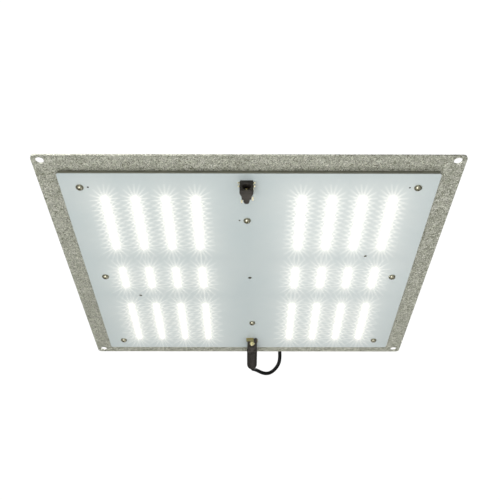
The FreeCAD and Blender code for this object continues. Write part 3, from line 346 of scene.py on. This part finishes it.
def painted_glow_near_leds(tree, place):
    """Two painted glows of a point on the board, each 1 beside a lit row of LEDs and fading to 0 away from
    it.
    """
    split = tree.nodes.new("ShaderNodeSeparateXYZ")
    tree.links.new(place, split.inputs[0])
    columns = [centre_of(f"led_packages_{n}").x for n in LED_COLUMNS]
    pitch = columns[1] - columns[0]
    per_side = len(columns) // 2
    inner = columns[per_side]
    from_inner = maths(tree, "SUBTRACT", maths(tree, "ABSOLUTE", split.outputs["X"]), inner)
    nearest = maths(tree, "ROUND", maths(tree, "DIVIDE", from_inner, pitch))
    nearest = maths(tree, "MINIMUM", maths(tree, "MAXIMUM", nearest, 0.0), per_side - 1.0)
    across = maths(tree, "SUBTRACT", from_inner, maths(tree, "MULTIPLY", nearest, pitch))
    along = None
    for low, high in led_groups():
        half = (high - low) / 2
        away = maths(tree, "ABSOLUTE", maths(tree, "SUBTRACT", split.outputs["Y"], (low + high) / 2))
        away = maths(tree, "MAXIMUM", maths(tree, "SUBTRACT", away, half), 0.0)
        along = away if along is None else maths(tree, "MINIMUM", along, away)
    squares = maths(tree, "MULTIPLY_ADD", across, across, maths(tree, "MULTIPLY", along, along))
    distance = maths(tree, "SQRT", squares)
    near = maths(tree, "EXPONENT", maths(tree, "MULTIPLY", distance, -1.0 / GLOW_NEAR))
    wide = maths(tree, "EXPONENT", maths(tree, "MULTIPLY", distance, -1.0 / GLOW_WIDE))
    return near, wide


def board_mask():
    """White solder mask over copper, with a raw cut edge, and a painted glow round the LEDs that stand on
    it: its face emits light though it is no lamp.
    """
    material, tree, shader = new_material("board_mask")
    place = object_place(tree)
    split = tree.nodes.new("ShaderNodeSeparateXYZ")
    tree.links.new(place, split.inputs[0])
    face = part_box("led_board")[0].z
    on_edge = maths(tree, "GREATER_THAN", split.outputs["Z"], face + EDGE_FROM)
    in_core = remap(tree, split.outputs["Z"], face + CORE_FROM, face + CORE_TO, 0.0, 1.0)
    cloud = noise_of(tree, place, 22.0, detail=4.0)
    mask = ramp_of(tree, cloud, ((0.3, (0.550, 0.625, 0.625)), (0.7, (0.585, 0.650, 0.642))))
    edge = mix_colours(tree, in_core, (0.200, 0.202, 0.155), (0.260, 0.262, 0.210))
    tree.links.new(mix_colours(tree, on_edge, mask, edge), shader.inputs["Base Color"])
    orange_peel = noise_of(tree, place, 700.0, detail=2.0)
    tree.links.new(remap(tree, orange_peel, 0.3, 0.7, 0.30, 0.42), shader.inputs["Roughness"])
    shader.inputs["Coat Weight"].default_value = 0.25
    shader.inputs["Coat Roughness"].default_value = 0.2
    bump(tree, shader, orange_peel, 0.02 * MM, 0.4)
    # Painted glow: emission on the mask's face round each lit LED row, standing in for the LEDs' light
    # falling on the board.
    near, wide = painted_glow_near_leds(tree, place)
    glow = maths(tree, "MULTIPLY_ADD", near, 0.8, maths(tree, "MULTIPLY", wide, 0.26))
    face_only = maths(tree, "SUBTRACT", 1.0, on_edge)
    tree.links.new(maths(tree, "MULTIPLY", glow, face_only), shader.inputs["Emission Strength"])
    shader.inputs["Emission Color"].default_value = (1.0, 0.91, 0.82, 1.0)
    return material


def solder_painted_glow():
    """Solder beside a lit LED, with a painted glow: it emits light though it is no lamp."""
    material, tree, shader = new_material("solder_painted_glow")
    place = object_place(tree)
    grain = noise_of(tree, place, 3000.0, detail=2.0)
    tree.links.new(ramp_of(tree, grain, ((0.3, (0.74, 0.73, 0.70)), (0.7, (0.86, 0.85, 0.82)))),
                   shader.inputs["Base Color"])
    shader.inputs["Metallic"].default_value = 0.9
    shader.inputs["Roughness"].default_value = 0.3
    # Painted glow: the solder emits light as if lit by its LED.
    shader.inputs["Emission Color"].default_value = (1.0, 0.95, 0.88, 1.0)
    shader.inputs["Emission Strength"].default_value = 1.4
    bump(tree, shader, grain, 0.03 * MM, 0.5)
    return material


def boot_rubber():
    """Dark grip rubber: mottled brown-black, matt, with worn paler specks."""
    material, tree, shader = new_material("boot_rubber")
    place = object_place(tree)
    mottle = noise_of(tree, place, 420.0, detail=4.0, roughness=0.65)
    colour = ramp_of(tree, mottle, ((0.36, (0.014, 0.011, 0.009)), (0.52, (0.030, 0.026, 0.022)),
                                    (0.66, (0.060, 0.052, 0.044))))
    tree.links.new(colour, shader.inputs["Base Color"])
    tree.links.new(remap(tree, mottle, 0.3, 0.7, 0.45, 0.65), shader.inputs["Roughness"])
    shader.inputs["Specular IOR Level"].default_value = 0.25
    bump(tree, shader, noise_of(tree, place, 2200.0, detail=3.0), 0.08 * MM, 0.6)
    return material


def lit_phosphor():
    """Yellow phosphor, lit: near white, a little warmer towards the grain's hollows."""
    material, tree, shader = new_material("lit_phosphor")
    place = object_place(tree)
    grain = noise_of(tree, place, 5000.0, detail=2.0)
    tree.links.new(ramp_of(tree, grain, ((0.3, (0.90, 0.78, 0.34)), (0.7, (0.98, 0.90, 0.55)))),
                   shader.inputs["Base Color"])
    shader.inputs["Roughness"].default_value = 0.4
    tree.links.new(ramp_of(tree, grain, ((0.3, (1.0, 0.93, 0.80)), (0.7, (1.0, 0.97, 0.90)))),
                   shader.inputs["Emission Color"])
    shader.inputs["Emission Strength"].default_value = 6.0
    bump(tree, shader, grain, 0.02 * MM, 0.5)
    return material


def lit_die():
    """The chip under the phosphor, the brightest spot of each LED."""
    material, tree, shader = new_material("lit_die")
    place = object_place(tree)
    grain = noise_of(tree, place, 5000.0, detail=2.0)
    tree.links.new(ramp_of(tree, grain, ((0.3, (0.95, 0.88, 0.60)), (0.7, (1.0, 0.95, 0.75)))),
                   shader.inputs["Base Color"])
    tree.links.new(ramp_of(tree, grain, ((0.3, (1.0, 0.95, 0.86)), (0.7, (1.0, 0.98, 0.93)))),
                   shader.inputs["Emission Color"])
    shader.inputs["Emission Strength"].default_value = DIE_LIGHT
    return material


def fibre_board(name, colour):
    """Glass-fibre circuit board: a fine weave under its mask."""
    material, tree, shader = new_material(name)
    place = object_place(tree)
    weave = add_node(tree, "ShaderNodeTexBrick", Scale=900.0)
    tree.links.new(place, weave.inputs["Vector"])
    weave.inputs["Color1"].default_value = (*colour, 1.0)
    weave.inputs["Color2"].default_value = (*scaled(colour, 1.25), 1.0)
    weave.inputs["Mortar"].default_value = (*scaled(colour, 0.7), 1.0)
    tree.links.new(weave.outputs["Color"], shader.inputs["Base Color"])
    shader.inputs["Roughness"].default_value = 0.35
    bump(tree, shader, weave.outputs["Fac"], 0.02 * MM, 0.3)
    return material


def make_materials():
    """Every finish, by the record's material slot."""
    black = (0.028, 0.026, 0.024)
    return {
        "plate_paint": stucco_metal(),
        "thermal_pad": moulded_plastic("thermal_pad", (0.190, 0.192, 0.145), roughness=0.8),
        "board_mask": board_mask(),
        "led_case": moulded_plastic("led_case", (0.80, 0.80, 0.76), roughness=0.4, spread=0.06),
        "led_phosphor": lit_phosphor(),
        "steel_fastener": brushed_metal("steel_fastener", (0.42, 0.40, 0.30), roughness=0.14),
        "jack_plastic": moulded_plastic("jack_plastic", (0.050, 0.043, 0.036), roughness=0.5, spread=0.5,
                                        shine=0.3),
        "contact_brass": brushed_metal("contact_brass", (0.90, 0.80, 0.46), roughness=0.24, along=2),
        "solder_tab": brushed_metal("solder_tab", (0.85, 0.79, 0.56), roughness=0.2),
        "plug_shell": brushed_metal("plug_shell", (0.72, 0.71, 0.68), roughness=0.16, along=1),
        "plug_insulator": moulded_plastic("plug_insulator", (0.03, 0.03, 0.03)),
        "boot_rubber": boot_rubber(),
        "lead_jacket": moulded_plastic("lead_jacket", (0.004, 0.004, 0.004), roughness=0.5, shine=0.15),
        "gland_plastic": moulded_plastic("gland_plastic", black, roughness=0.42),
        "gland_seal": moulded_plastic("gland_seal", (0.02, 0.02, 0.02), roughness=0.7),
        "driver_anodise": anodised("driver_anodise", (0.13, 0.13, 0.135)),
        "cap_anodise": anodised("cap_anodise", (0.11, 0.11, 0.115)),
        "gasket_rubber": moulded_plastic("gasket_rubber", (0.02, 0.02, 0.02), roughness=0.75),
        "inlet_plastic": moulded_plastic("inlet_plastic", black, roughness=0.4),
        "inlet_pin": brushed_metal("inlet_pin", (0.74, 0.71, 0.64), roughness=0.2, along=1),
        "pcb": fibre_board("pcb", (0.02, 0.16, 0.06)),
        "capacitor_sleeve": moulded_plastic("capacitor_sleeve", (0.03, 0.04, 0.10), roughness=0.3),
        "ferrite": moulded_plastic("ferrite", (0.05, 0.05, 0.055), roughness=0.6),
        "winding_tape": moulded_plastic("winding_tape", (0.75, 0.52, 0.06), roughness=0.35),
        "choke_core": moulded_plastic("choke_core", (0.05, 0.22, 0.10), roughness=0.45),
        "copper_wire": brushed_metal("copper_wire", (0.62, 0.28, 0.13), roughness=0.25),
        "film_capacitor": moulded_plastic("film_capacitor", (0.70, 0.45, 0.05), roughness=0.35),
        "fuse_case": moulded_plastic("fuse_case", (0.16, 0.05, 0.03), roughness=0.35),
        "spreader": brushed_metal("spreader", (0.68, 0.68, 0.69), roughness=0.3, along=1),
        "device_case": moulded_plastic("device_case", (0.02, 0.02, 0.02), roughness=0.4),
        "wire_jacket": moulded_plastic("wire_jacket", (0.30, 0.03, 0.02), roughness=0.4),
    }


# ---------------------------------------------------------------- reading the frame


def centre_of(node):
    """The middle of a CAD node's box."""
    low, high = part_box(node)
    return (low + high) / 2


def islands_of(node):
    """The middle of each separate solid in a CAD node, and its size."""
    mesh = bmesh.new()
    mesh.from_mesh(NODES[node].data)
    bmesh.ops.remove_doubles(mesh, verts=mesh.verts, dist=WELD_WITHIN)
    seen = set()
    found = []
    for start in mesh.verts:
        if start in seen:
            continue
        seen.add(start)
        group = [start]
        for vert in group:
            for edge in vert.link_edges:
                other = edge.other_vert(vert)
                if other not in seen:
                    seen.add(other)
                    group.append(other)
        low = Vector(min(v.co[i] for v in group) for i in range(3))
        high = Vector(max(v.co[i] for v in group) for i in range(3))
        found.append(((low + high) / 2, high - low))
    mesh.free()
    return found


def led_groups():
    """The first and last LED row of each group in a column, as (low y, high y)."""
    rows = sorted(centre.y for centre, size in islands_of("led_packages_1"))
    groups = [[rows[0], rows[0]]]
    pitch = rows[1] - rows[0]
    for row in rows[1:]:
        if row - groups[-1][1] > GROUP_GAP * pitch:
            groups.append([row, row])
        groups[-1][1] = row
    return groups


# ---------------------------------------------------------------- new pieces


def new_piece(name, mesh, material, smooth_angle=None):
    """An object from a finished bmesh, with one material."""
    data = bpy.data.meshes.new(name)
    mesh.to_mesh(data)
    mesh.free()
    data.materials.append(material)
    if smooth_angle is not None:
        data.shade_smooth()
        data.set_sharp_from_angle(angle=math.radians(smooth_angle))
    piece = bpy.data.objects.new(name, data)
    SCENE.collection.objects.link(piece)
    return piece


def nurbs_centreline(route):
    """Points along the open NURBS spline whose control points are the route."""
    curve = bpy.data.curves.new("lead_route", "CURVE")
    curve.dimensions = "3D"
    curve.resolution_u = 14
    spline = curve.splines.new("NURBS")
    spline.points.add(len(route) - 1)
    for point, place in zip(spline.points, route):
        point.co = (*place, 1.0)
    spline.order_u = 3
    spline.use_endpoint_u = True
    carrier = bpy.data.objects.new("lead_route", curve)
    SCENE.collection.objects.link(carrier)
    bpy.context.view_layer.update()
    line = bpy.data.meshes.new_from_object(carrier)
    points = [v.co.copy() for v in line.vertices]
    bpy.data.objects.remove(carrier)
    bpy.data.meshes.remove(line)
    return points


def tube_along(points, radius, sides):
    """A closed round tube along points, its rings carried along without twisting."""
    mesh = bmesh.new()
    rings = []
    across = Vector((1.0, 0.0, 0.0))
    for index, point in enumerate(points):
        before = points[max(index - 1, 0)]
        after = points[min(index + 1, len(points) - 1)]
        along = (after - before).normalized()
        across = (across - along * across.dot(along)).normalized()
        up = along.cross(across)
        ring = []
        for side in range(sides):
            angle = 2.0 * math.pi * side / sides
            ring.append(mesh.verts.new(point + (across * math.cos(angle) + up * math.sin(angle)) * radius))
        rings.append(ring)
    for first, second in zip(rings, rings[1:]):
        for side in range(sides):
            after = (side + 1) % sides
            mesh.faces.new((first[side], first[after], second[after], second[side]))
    mesh.faces.new(list(reversed(rings[0])))
    mesh.faces.new(rings[-1])
    bmesh.ops.recalc_face_normals(mesh, faces=mesh.faces)
    return mesh


def make_lead(materials):
    """The low-voltage lead, as a tube along its route."""
    points = nurbs_centreline(LEAD_ROUTE)
    lead = new_piece("dc_lead_jacket", tube_along(points, LEAD_RADIUS, LEAD_SIDES),
                     materials["lead_jacket"], smooth_angle=50)
    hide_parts("dc_lead")
    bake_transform(lead)


def stucco_height(x, y, seed):
    """Height of the embossing at a point, from 0 to 1: rounded ridges that wander."""
    here = Vector((x / STUCCO_SCALE, y / STUCCO_SCALE, seed))
    warp = noise.noise(here * STUCCO_WARP_SCALE + Vector((11.0, 3.0, 0.0)))
    value = noise.noise(here + Vector((warp, -warp, 0.0)) * STUCCO_WANDER)
    return 1.0 - min(1.0, abs(value) * STUCCO_SHARP)


def rounded_corner(x, y, half_x, half_y, corner):
    """Moves a point of a square corner in to the same place in a round one."""
    u = (abs(x) - (half_x - corner)) / corner
    v = (abs(y) - (half_y - corner)) / corner
    if u <= 0.0 or v <= 0.0:
        return x, y
    new_u = u * math.sqrt(1.0 - v * v / 2.0)
    new_v = v * math.sqrt(1.0 - u * u / 2.0)
    return (math.copysign(half_x - corner + new_u * corner, x),
            math.copysign(half_y - corner + new_v * corner, y))


def plate_holes():
    """Centre and radius of every hole in the reflector plate."""
    low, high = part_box("reflector_plate")
    corners = [(x, y, HANG_HOLE) for x in (low.x + HANG_INSET.x, high.x - HANG_INSET.x)
               for y in (low.y + HANG_INSET.y, high.y - HANG_INSET.y)]
    screws = islands_of("board_screws") + islands_of("driver_screws")
    return corners + [(centre.x, centre.y, SCREW_HOLE) for centre, size in screws]


def make_stucco_plate(material):
    """The reflector plate with its embossing as real relief on both faces."""
    low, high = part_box("reflector_plate")
    half_x = (high.x - low.x) / 2
    half_y = (high.y - low.y) / 2
    count_x = round(2 * half_x / STUCCO_PITCH)
    count_y = round(2 * half_y / STUCCO_PITCH)
    step_x = 2 * half_x / count_x
    step_y = 2 * half_y / count_y
    mesh = bmesh.new()

    # Cells that each hole takes out of the grid
    removed = set()
    patches = []
    for x, y, radius in plate_holes():
        column = round((x + half_x) / step_x)
        row = round((y + half_y) / step_y)
        reach = math.ceil(radius / STUCCO_PITCH) + 1
        patches.append((x, y, radius, column, row, reach))
        removed.update((i, j) for i in range(column - reach, column + reach)
                       for j in range(row - reach, row + reach))

    def flat_place(i, j):
        return rounded_corner(i * step_x - half_x, j * step_y - half_y, half_x, half_y, PLATE_CORNER)

    def on_rim(i, j):
        return i in (0, count_x) or j in (0, count_y)

    sides = {}
    for name, surface, inward, seed in (("top", high.z, -1.0, STUCCO_SEED), ("under", low.z, 1.0, 0.0)):
        grid = {}

        def vert_at(i, j):
            if (i, j) not in grid:
                x, y = flat_place(i, j)
                relief = 0.0 if on_rim(i, j) else STUCCO_DEPTH * (1.0 - stucco_height(x, y, seed))
                grid[i, j] = mesh.verts.new((x, y, surface + inward * relief))
            return grid[i, j]

        def face_of(corners):
            mesh.faces.new(corners if name == "top" else list(reversed(corners)))

        for i in range(count_x):
            for j in range(count_y):
                if (i, j) not in removed:
                    face_of([vert_at(i, j), vert_at(i + 1, j), vert_at(i + 1, j + 1), vert_at(i, j + 1)])
        rings = []
        for x, y, radius, column, row, reach in patches:
            first_i, last_i, first_j, last_j = column - reach, column + reach, row - reach, row + reach
            loop = [(i, first_j) for i in range(first_i, last_i)]
            loop += [(last_i, j) for j in range(first_j, last_j)]
            loop += [(i, last_j) for i in range(last_i, first_i, -1)]
            loop += [(first_i, j) for j in range(last_j, first_j, -1)]
            outer = [vert_at(i, j) for i, j in loop]
            middle = []
            inner = []
            for vert in outer:
                angle = math.atan2(vert.co.y - y, vert.co.x - x)
                away = Vector((math.cos(angle), math.sin(angle), 0.0))
                far = radius + HOLE_FLAT
                middle.append(mesh.verts.new((x + away.x * far, y + away.y * far, surface)))
                near = (x + away.x * radius, y + away.y * radius, surface + inward * HOLE_EASE)
                inner.append(mesh.verts.new(near))
            for first, second in ((outer, middle), (middle, inner)):
                for k in range(len(loop)):
                    after = (k + 1) % len(loop)
                    face_of([first[k], first[after], second[after], second[k]])
            rings.append(inner)
        rim = [vert_at(i, 0) for i in range(count_x)]
        rim += [vert_at(count_x, j) for j in range(count_y)]
        rim += [vert_at(i, count_y) for i in range(count_x, 0, -1)]
        rim += [vert_at(0, j) for j in range(count_y, 0, -1)]
        sides[name] = [rim] + rings

    # Walls round the outside and through each hole
    for over, under in zip(sides["top"], sides["under"]):
        for k in range(len(over)):
            after = (k + 1) % len(over)
            mesh.faces.new((over[k], under[k], under[after], over[after]))
    bmesh.ops.recalc_face_normals(mesh, faces=mesh.faces)
    plate = new_piece("reflector_plate_stucco", mesh, material, smooth_angle=38)
    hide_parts("reflector_plate")
    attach(plate, "lamp")


def add_prism(mesh, outline, low, high):
    """A closed prism over an (x, y) outline, between two heights."""
    base = [mesh.verts.new((x, y, low)) for x, y in outline]
    top = [mesh.verts.new((x, y, high)) for x, y in outline]
    mesh.faces.new(list(reversed(base)))
    mesh.faces.new(top)
    count = len(outline)
    for k in range(count):
        after = (k + 1) % count
        mesh.faces.new((base[k], base[after], top[after], top[k]))


def make_solder_fillets(material):
    """A small solder fillet at each end of every LED package."""
    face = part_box("led_board")[0].z
    mesh = bmesh.new()
    for number in LED_COLUMNS:
        for centre, size in islands_of(f"led_packages_{number}"):
            for side in (-1, 1):
                start = centre.x + side * size.x / 2
                toe = start + side * SOLDER_WIDE
                profile = [(start, 0.0), (start, SOLDER_TALL),
                           (start + side * SOLDER_SHOULDER, SOLDER_TALL * SOLDER_SHOULDER_TALL),
                           (toe, SOLDER_TOE), (toe, 0.0)]
                ends = []
                for y in (centre.y - size.y * SOLDER_HALF, centre.y + size.y * SOLDER_HALF):
                    ends.append([mesh.verts.new((x, y, face - rise)) for x, rise in profile])
                near, far = ends
                mesh.faces.new(near)
                mesh.faces.new(list(reversed(far)))
                for k in range(len(profile)):
                    after = (k + 1) % len(profile)
                    mesh.faces.new((near[after], near[k], far[k], far[after]))
    bmesh.ops.recalc_face_normals(mesh, faces=mesh.faces)
    fillets = new_piece("led_solder_fillets", mesh, material, smooth_angle=40)
    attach(fillets, "lamp")


def make_dies(material):
    """The chip of every LED, as a small square standing just proud of its phosphor."""
    mesh = bmesh.new()
    for number in LED_COLUMNS:
        phosphor = f"led_phosphors_{number}"
        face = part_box(phosphor)[0].z
        for centre, size in islands_of(phosphor):
            half = DIE_WIDE / 2
            outline = [(centre.x - half, centre.y - half), (centre.x + half, centre.y - half),
                       (centre.x + half, centre.y + half), (centre.x - half, centre.y + half)]
            add_prism(mesh, outline, face - DIE_TALL, face)
    bmesh.ops.recalc_face_normals(mesh, faces=mesh.faces)
    dies = new_piece("led_dies", mesh, material, smooth_angle=30)
    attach(dies, "lamp")


def make_copper_pours(material):
    """Copper areas under the mask, one between each LED and the next, as a step in the board's face."""
    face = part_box("led_board")[0].z
    mesh = bmesh.new()
    half_x = POUR_WIDE / 2
    cut = POUR_CUT
    for number in LED_COLUMNS:
        rows = sorted(centre.y for centre, size in islands_of(f"led_packages_{number}"))
        x = centre_of(f"led_packages_{number}").x
        pitch = rows[1] - rows[0]
        for low, high in led_groups():
            in_group = [y for y in rows if low - ROW_SLACK < y < high + ROW_SLACK]
            half_y = (pitch - POUR_GAP) / 2
            for middle in [low - pitch / 2] + [y + pitch / 2 for y in in_group]:
                outline = [(x - half_x + cut, middle - half_y), (x + half_x - cut, middle - half_y),
                           (x + half_x, middle - half_y + cut), (x + half_x, middle + half_y - cut),
                           (x + half_x - cut, middle + half_y), (x - half_x + cut, middle + half_y),
                           (x - half_x, middle + half_y - cut), (x - half_x, middle - half_y + cut)]
                add_prism(mesh, outline, face - POUR_TALL, face)
    bmesh.ops.recalc_face_normals(mesh, faces=mesh.faces)
    pours = new_piece("board_copper_pours", mesh, material, smooth_angle=30)
    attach(pours, "lamp")


def make_test_points(material):
    """A dark plated test point beside the two near board screws and the near driver screw."""
    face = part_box("led_board")[0].z
    mesh = bmesh.new()
    near = sorted(islands_of("board_screws"), key=lambda found: found[0].y)[:2]
    places = [(centre.x - math.copysign(TEST_POINT_BESIDE, centre.x), centre.y) for centre, size in near]
    driver = min(islands_of("driver_screws"), key=lambda found: found[0].y)[0]
    places.append((driver.x - TEST_POINT_BESIDE_DRIVER, driver.y))
    turns = [2.0 * math.pi * k / TEST_POINT_SIDES for k in range(TEST_POINT_SIDES)]
    for x, y in places:
        outline = [(x + TEST_POINT_RADIUS * math.cos(turn), y + TEST_POINT_RADIUS * math.sin(turn))
                   for turn in turns]
        add_prism(mesh, outline, face - TEST_POINT_TALL, face)
    bmesh.ops.recalc_face_normals(mesh, faces=mesh.faces)
    points = new_piece("board_test_points", mesh, material, smooth_angle=40)
    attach(points, "lamp")


def make_boot(material):
    """The plug's moulded grip: collar at the jack, flattened sides, soft end, and fine grip grooves."""
    low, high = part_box("plug_boot")
    centre = (low + high) / 2
    radius = (high.x - low.x) / 2 - BOOT_SKIN
    long = high.y - low.y
    mesh = bmesh.new()
    rings = []
    for k in range(BOOT_STATIONS + 1):
        at = long * k / BOOT_STATIONS
        from_end = long - at
        rounded = max(0.0, 1.0 - from_end / BOOT_ROUNDING)
        wide = radius - (radius - BOOT_END) * (1.0 - math.sqrt(1.0 - rounded ** 2))
        wide -= BOOT_COLLAR_EASE * max(0.0, 1.0 - at / BOOT_COLLAR_EASE) ** 2
        for groove in BOOT_GROOVES:
            wide -= BOOT_GROOVE_DEEP * math.exp(-((at - groove * long) / BOOT_GROOVE_WIDE) ** 2)
        flat = BOOT_FLAT if BOOT_GROOVES[0] * long < at < BOOT_GROOVES[1] * long else 1.0
        ring = []
        for side in range(BOOT_SIDES):
            angle = 2.0 * math.pi * side / BOOT_SIDES
            x = wide * math.cos(angle)
            z = max(-wide * flat, min(wide * flat, wide * math.sin(angle)))
            ring.append(mesh.verts.new((centre.x + x, low.y + at, centre.z + z)))
        rings.append(ring)
    for first, second in zip(rings, rings[1:]):
        for side in range(BOOT_SIDES):
            after = (side + 1) % BOOT_SIDES
            mesh.faces.new((first[side], first[after], second[after], second[side]))
    mesh.faces.new(list(reversed(rings[0])))
    mesh.faces.new(rings[-1])
    bmesh.ops.recalc_face_normals(mesh, faces=mesh.faces)
    boot = new_piece("plug_boot_moulding", mesh, material, smooth_angle=45)
    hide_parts("plug_boot")
    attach(boot, "plug")
    return boot


def finish_cad_nodes(materials):
    """Each CAD node gets its slot's material, and the larger pieces get eased edges."""
    slots = {row["node"]: row["material_slot"] for row in frame["record"]["subparts"]}
    tarnished = brushed_metal("tarnished_brass", (0.42, 0.37, 0.19), roughness=0.32)
    for name, node in NODES.items():
        node.data.materials.clear()
        finish = tarnished if name == "input_jack_solder_tabs" else materials[slots[name]]
        node.data.materials.append(finish)
    eased = {  # width of the bevel, in mm
        "output_jack_housing": 0.22, "input_jack_housing": 0.22, "mains_inlet_body": 0.3, "gland_body": 0.25,
        "gland_nut": 0.3, "end_cap_inlet": 0.35, "end_cap_output": 0.35, "driver_housing": 0.2,
        "board_screws": 0.12, "driver_screws": 0.12, "end_cap_screws": 0.1, "back_nuts": 0.2,
        "back_washers": 0.12, "mains_inlet_pins": 0.15, "led_board": 0.1,
    }
    for name, width in eased.items():
        node = NODES[name]
        weld = node.modifiers.new("weld", "WELD")
        weld.merge_threshold = 0.003 * MM
        bevel = node.modifiers.new("ease", "BEVEL")
        bevel.width = width * MM
        bevel.segments = 2
        bevel.limit_method = "ANGLE"
        bevel.angle_limit = math.radians(40)
        bevel.use_clamp_overlap = True
        bevel.harden_normals = False


# ---------------------------------------------------------------- studio


def make_camera():
    """The camera at the photograph's viewing angle, in front of the lamp and below it."""
    data = bpy.data.cameras.new("camera")
    data.lens = CAMERA_LENS
    data.sensor_width = 36.0
    data.clip_start = 0.02
    data.clip_end = 50.0
    camera = bpy.data.objects.new("camera", data)
    camera.location = CAMERA_PLACE
    camera.rotation_euler = (math.pi / 2 + CAMERA_TILT, 0.0, -CAMERA_TURN)
    SCENE.collection.objects.link(camera)
    SCENE.camera = camera


def make_floor():
    """A plain pale floor, well below the hanging lamp. Its glow lights nothing else."""
    mesh = bmesh.new()
    corners = ((-1, -1), (1, -1), (1, 1), (-1, 1))
    mesh.faces.new([mesh.verts.new((x * FLOOR_HALF, y * FLOOR_HALF, FLOOR_Z)) for x, y in corners])
    material, tree, shader = new_material("pale_floor")
    place = object_place(tree)
    cloud = noise_of(tree, place, 1.5)
    tree.links.new(ramp_of(tree, cloud, ((0.3, (0.80, 0.80, 0.79)), (0.7, (0.84, 0.84, 0.83)))),
                   shader.inputs["Base Color"])
    shader.inputs["Roughness"].default_value = 0.9
    shader.inputs["Emission Color"].default_value = (1.0, 1.0, 1.0, 1.0)
    seen = add_node(tree, "ShaderNodeLightPath").outputs["Is Camera Ray"]
    tree.links.new(remap(tree, seen, 0.0, 1.0, 0.0, FLOOR_GLOW), shader.inputs["Emission Strength"])
    floor = new_piece("floor", mesh, material)


def add_area_light(name, place, target, size, power, colour):
    """A square area light at a place, turned to a target."""
    data = bpy.data.lights.new(name, "AREA")
    data.shape = "SQUARE"
    data.size = size
    data.energy = power
    data.color = colour
    light = bpy.data.objects.new(name, data)
    light.location = place
    light.rotation_mode = "QUATERNION"
    light.rotation_quaternion = (Vector(target) - Vector(place)).to_track_quat("-Z", "Y")
    SCENE.collection.objects.link(light)


def make_studio():
    """White surroundings that light the lamp only softly, and the area lights."""
    world = bpy.data.worlds.new("white_studio")
    world.use_nodes = True
    tree = world.node_tree
    background = tree.nodes["Background"]
    background.inputs["Color"].default_value = (1.0, 1.0, 1.0, 1.0)
    seen = tree.nodes.new("ShaderNodeLightPath")
    strength = tree.nodes.new("ShaderNodeMapRange")
    strength.inputs["To Min"].default_value = WORLD_LIGHT
    strength.inputs["To Max"].default_value = WORLD_SEEN
    tree.links.new(seen.outputs["Is Camera Ray"], strength.inputs["Value"])
    tree.links.new(strength.outputs["Result"], background.inputs["Strength"])
    SCENE.world = world
    for name, place, target, size, power, colour in LIGHTS:
        add_area_light(name, place, target, size, power, colour)


def make_lens_stars():
    """The lens's starbursts round the lit LEDs: a strong short set, and a faint longer one."""
    SCENE.view_settings.view_transform = "Standard"
    SCENE.use_nodes = True
    tree = SCENE.node_tree
    tree.nodes.clear()
    layers = tree.nodes.new("CompositorNodeRLayers")
    output = tree.nodes.new("CompositorNodeComposite")
    last = layers.outputs["Image"]
    for strength, iterations, fade in STAR_PASSES:
        stars = tree.nodes.new("CompositorNodeGlare")
        stars.glare_type = "STREAKS"
        stars.quality = "HIGH"
        settings = {"Threshold": STAR_THRESHOLD, "Strength": strength, "Streaks": STAR_RAYS,
                    "Streaks Angle": 0.1, "Iterations": iterations, "Fade": fade,
                    "Color Modulation": 0.0, "Saturation": 0.3}
        for name, value in settings.items():
            stars.inputs[name].default_value = value
        stars.inputs["Tint"].default_value = STAR_TINT
        tree.links.new(last, stars.inputs["Image"])
        last = stars.outputs["Image"]
    tree.links.new(last, output.inputs["Image"])


# ---------------------------------------------------------------- everything


def main():
    make_camera()
    materials = make_materials()
    boot = make_boot(materials["boot_rubber"])
    make_lead(materials)
    finish_cad_nodes(materials)
    make_stucco_plate(materials["plate_paint"])
    make_dies(lit_die())
    make_copper_pours(materials["board_mask"])
    make_solder_fillets(solder_painted_glow())
    make_test_points(materials["jack_plastic"])
    make_floor()
    make_studio()
    make_lens_stars()


main()
bpy.context.view_layer.update()
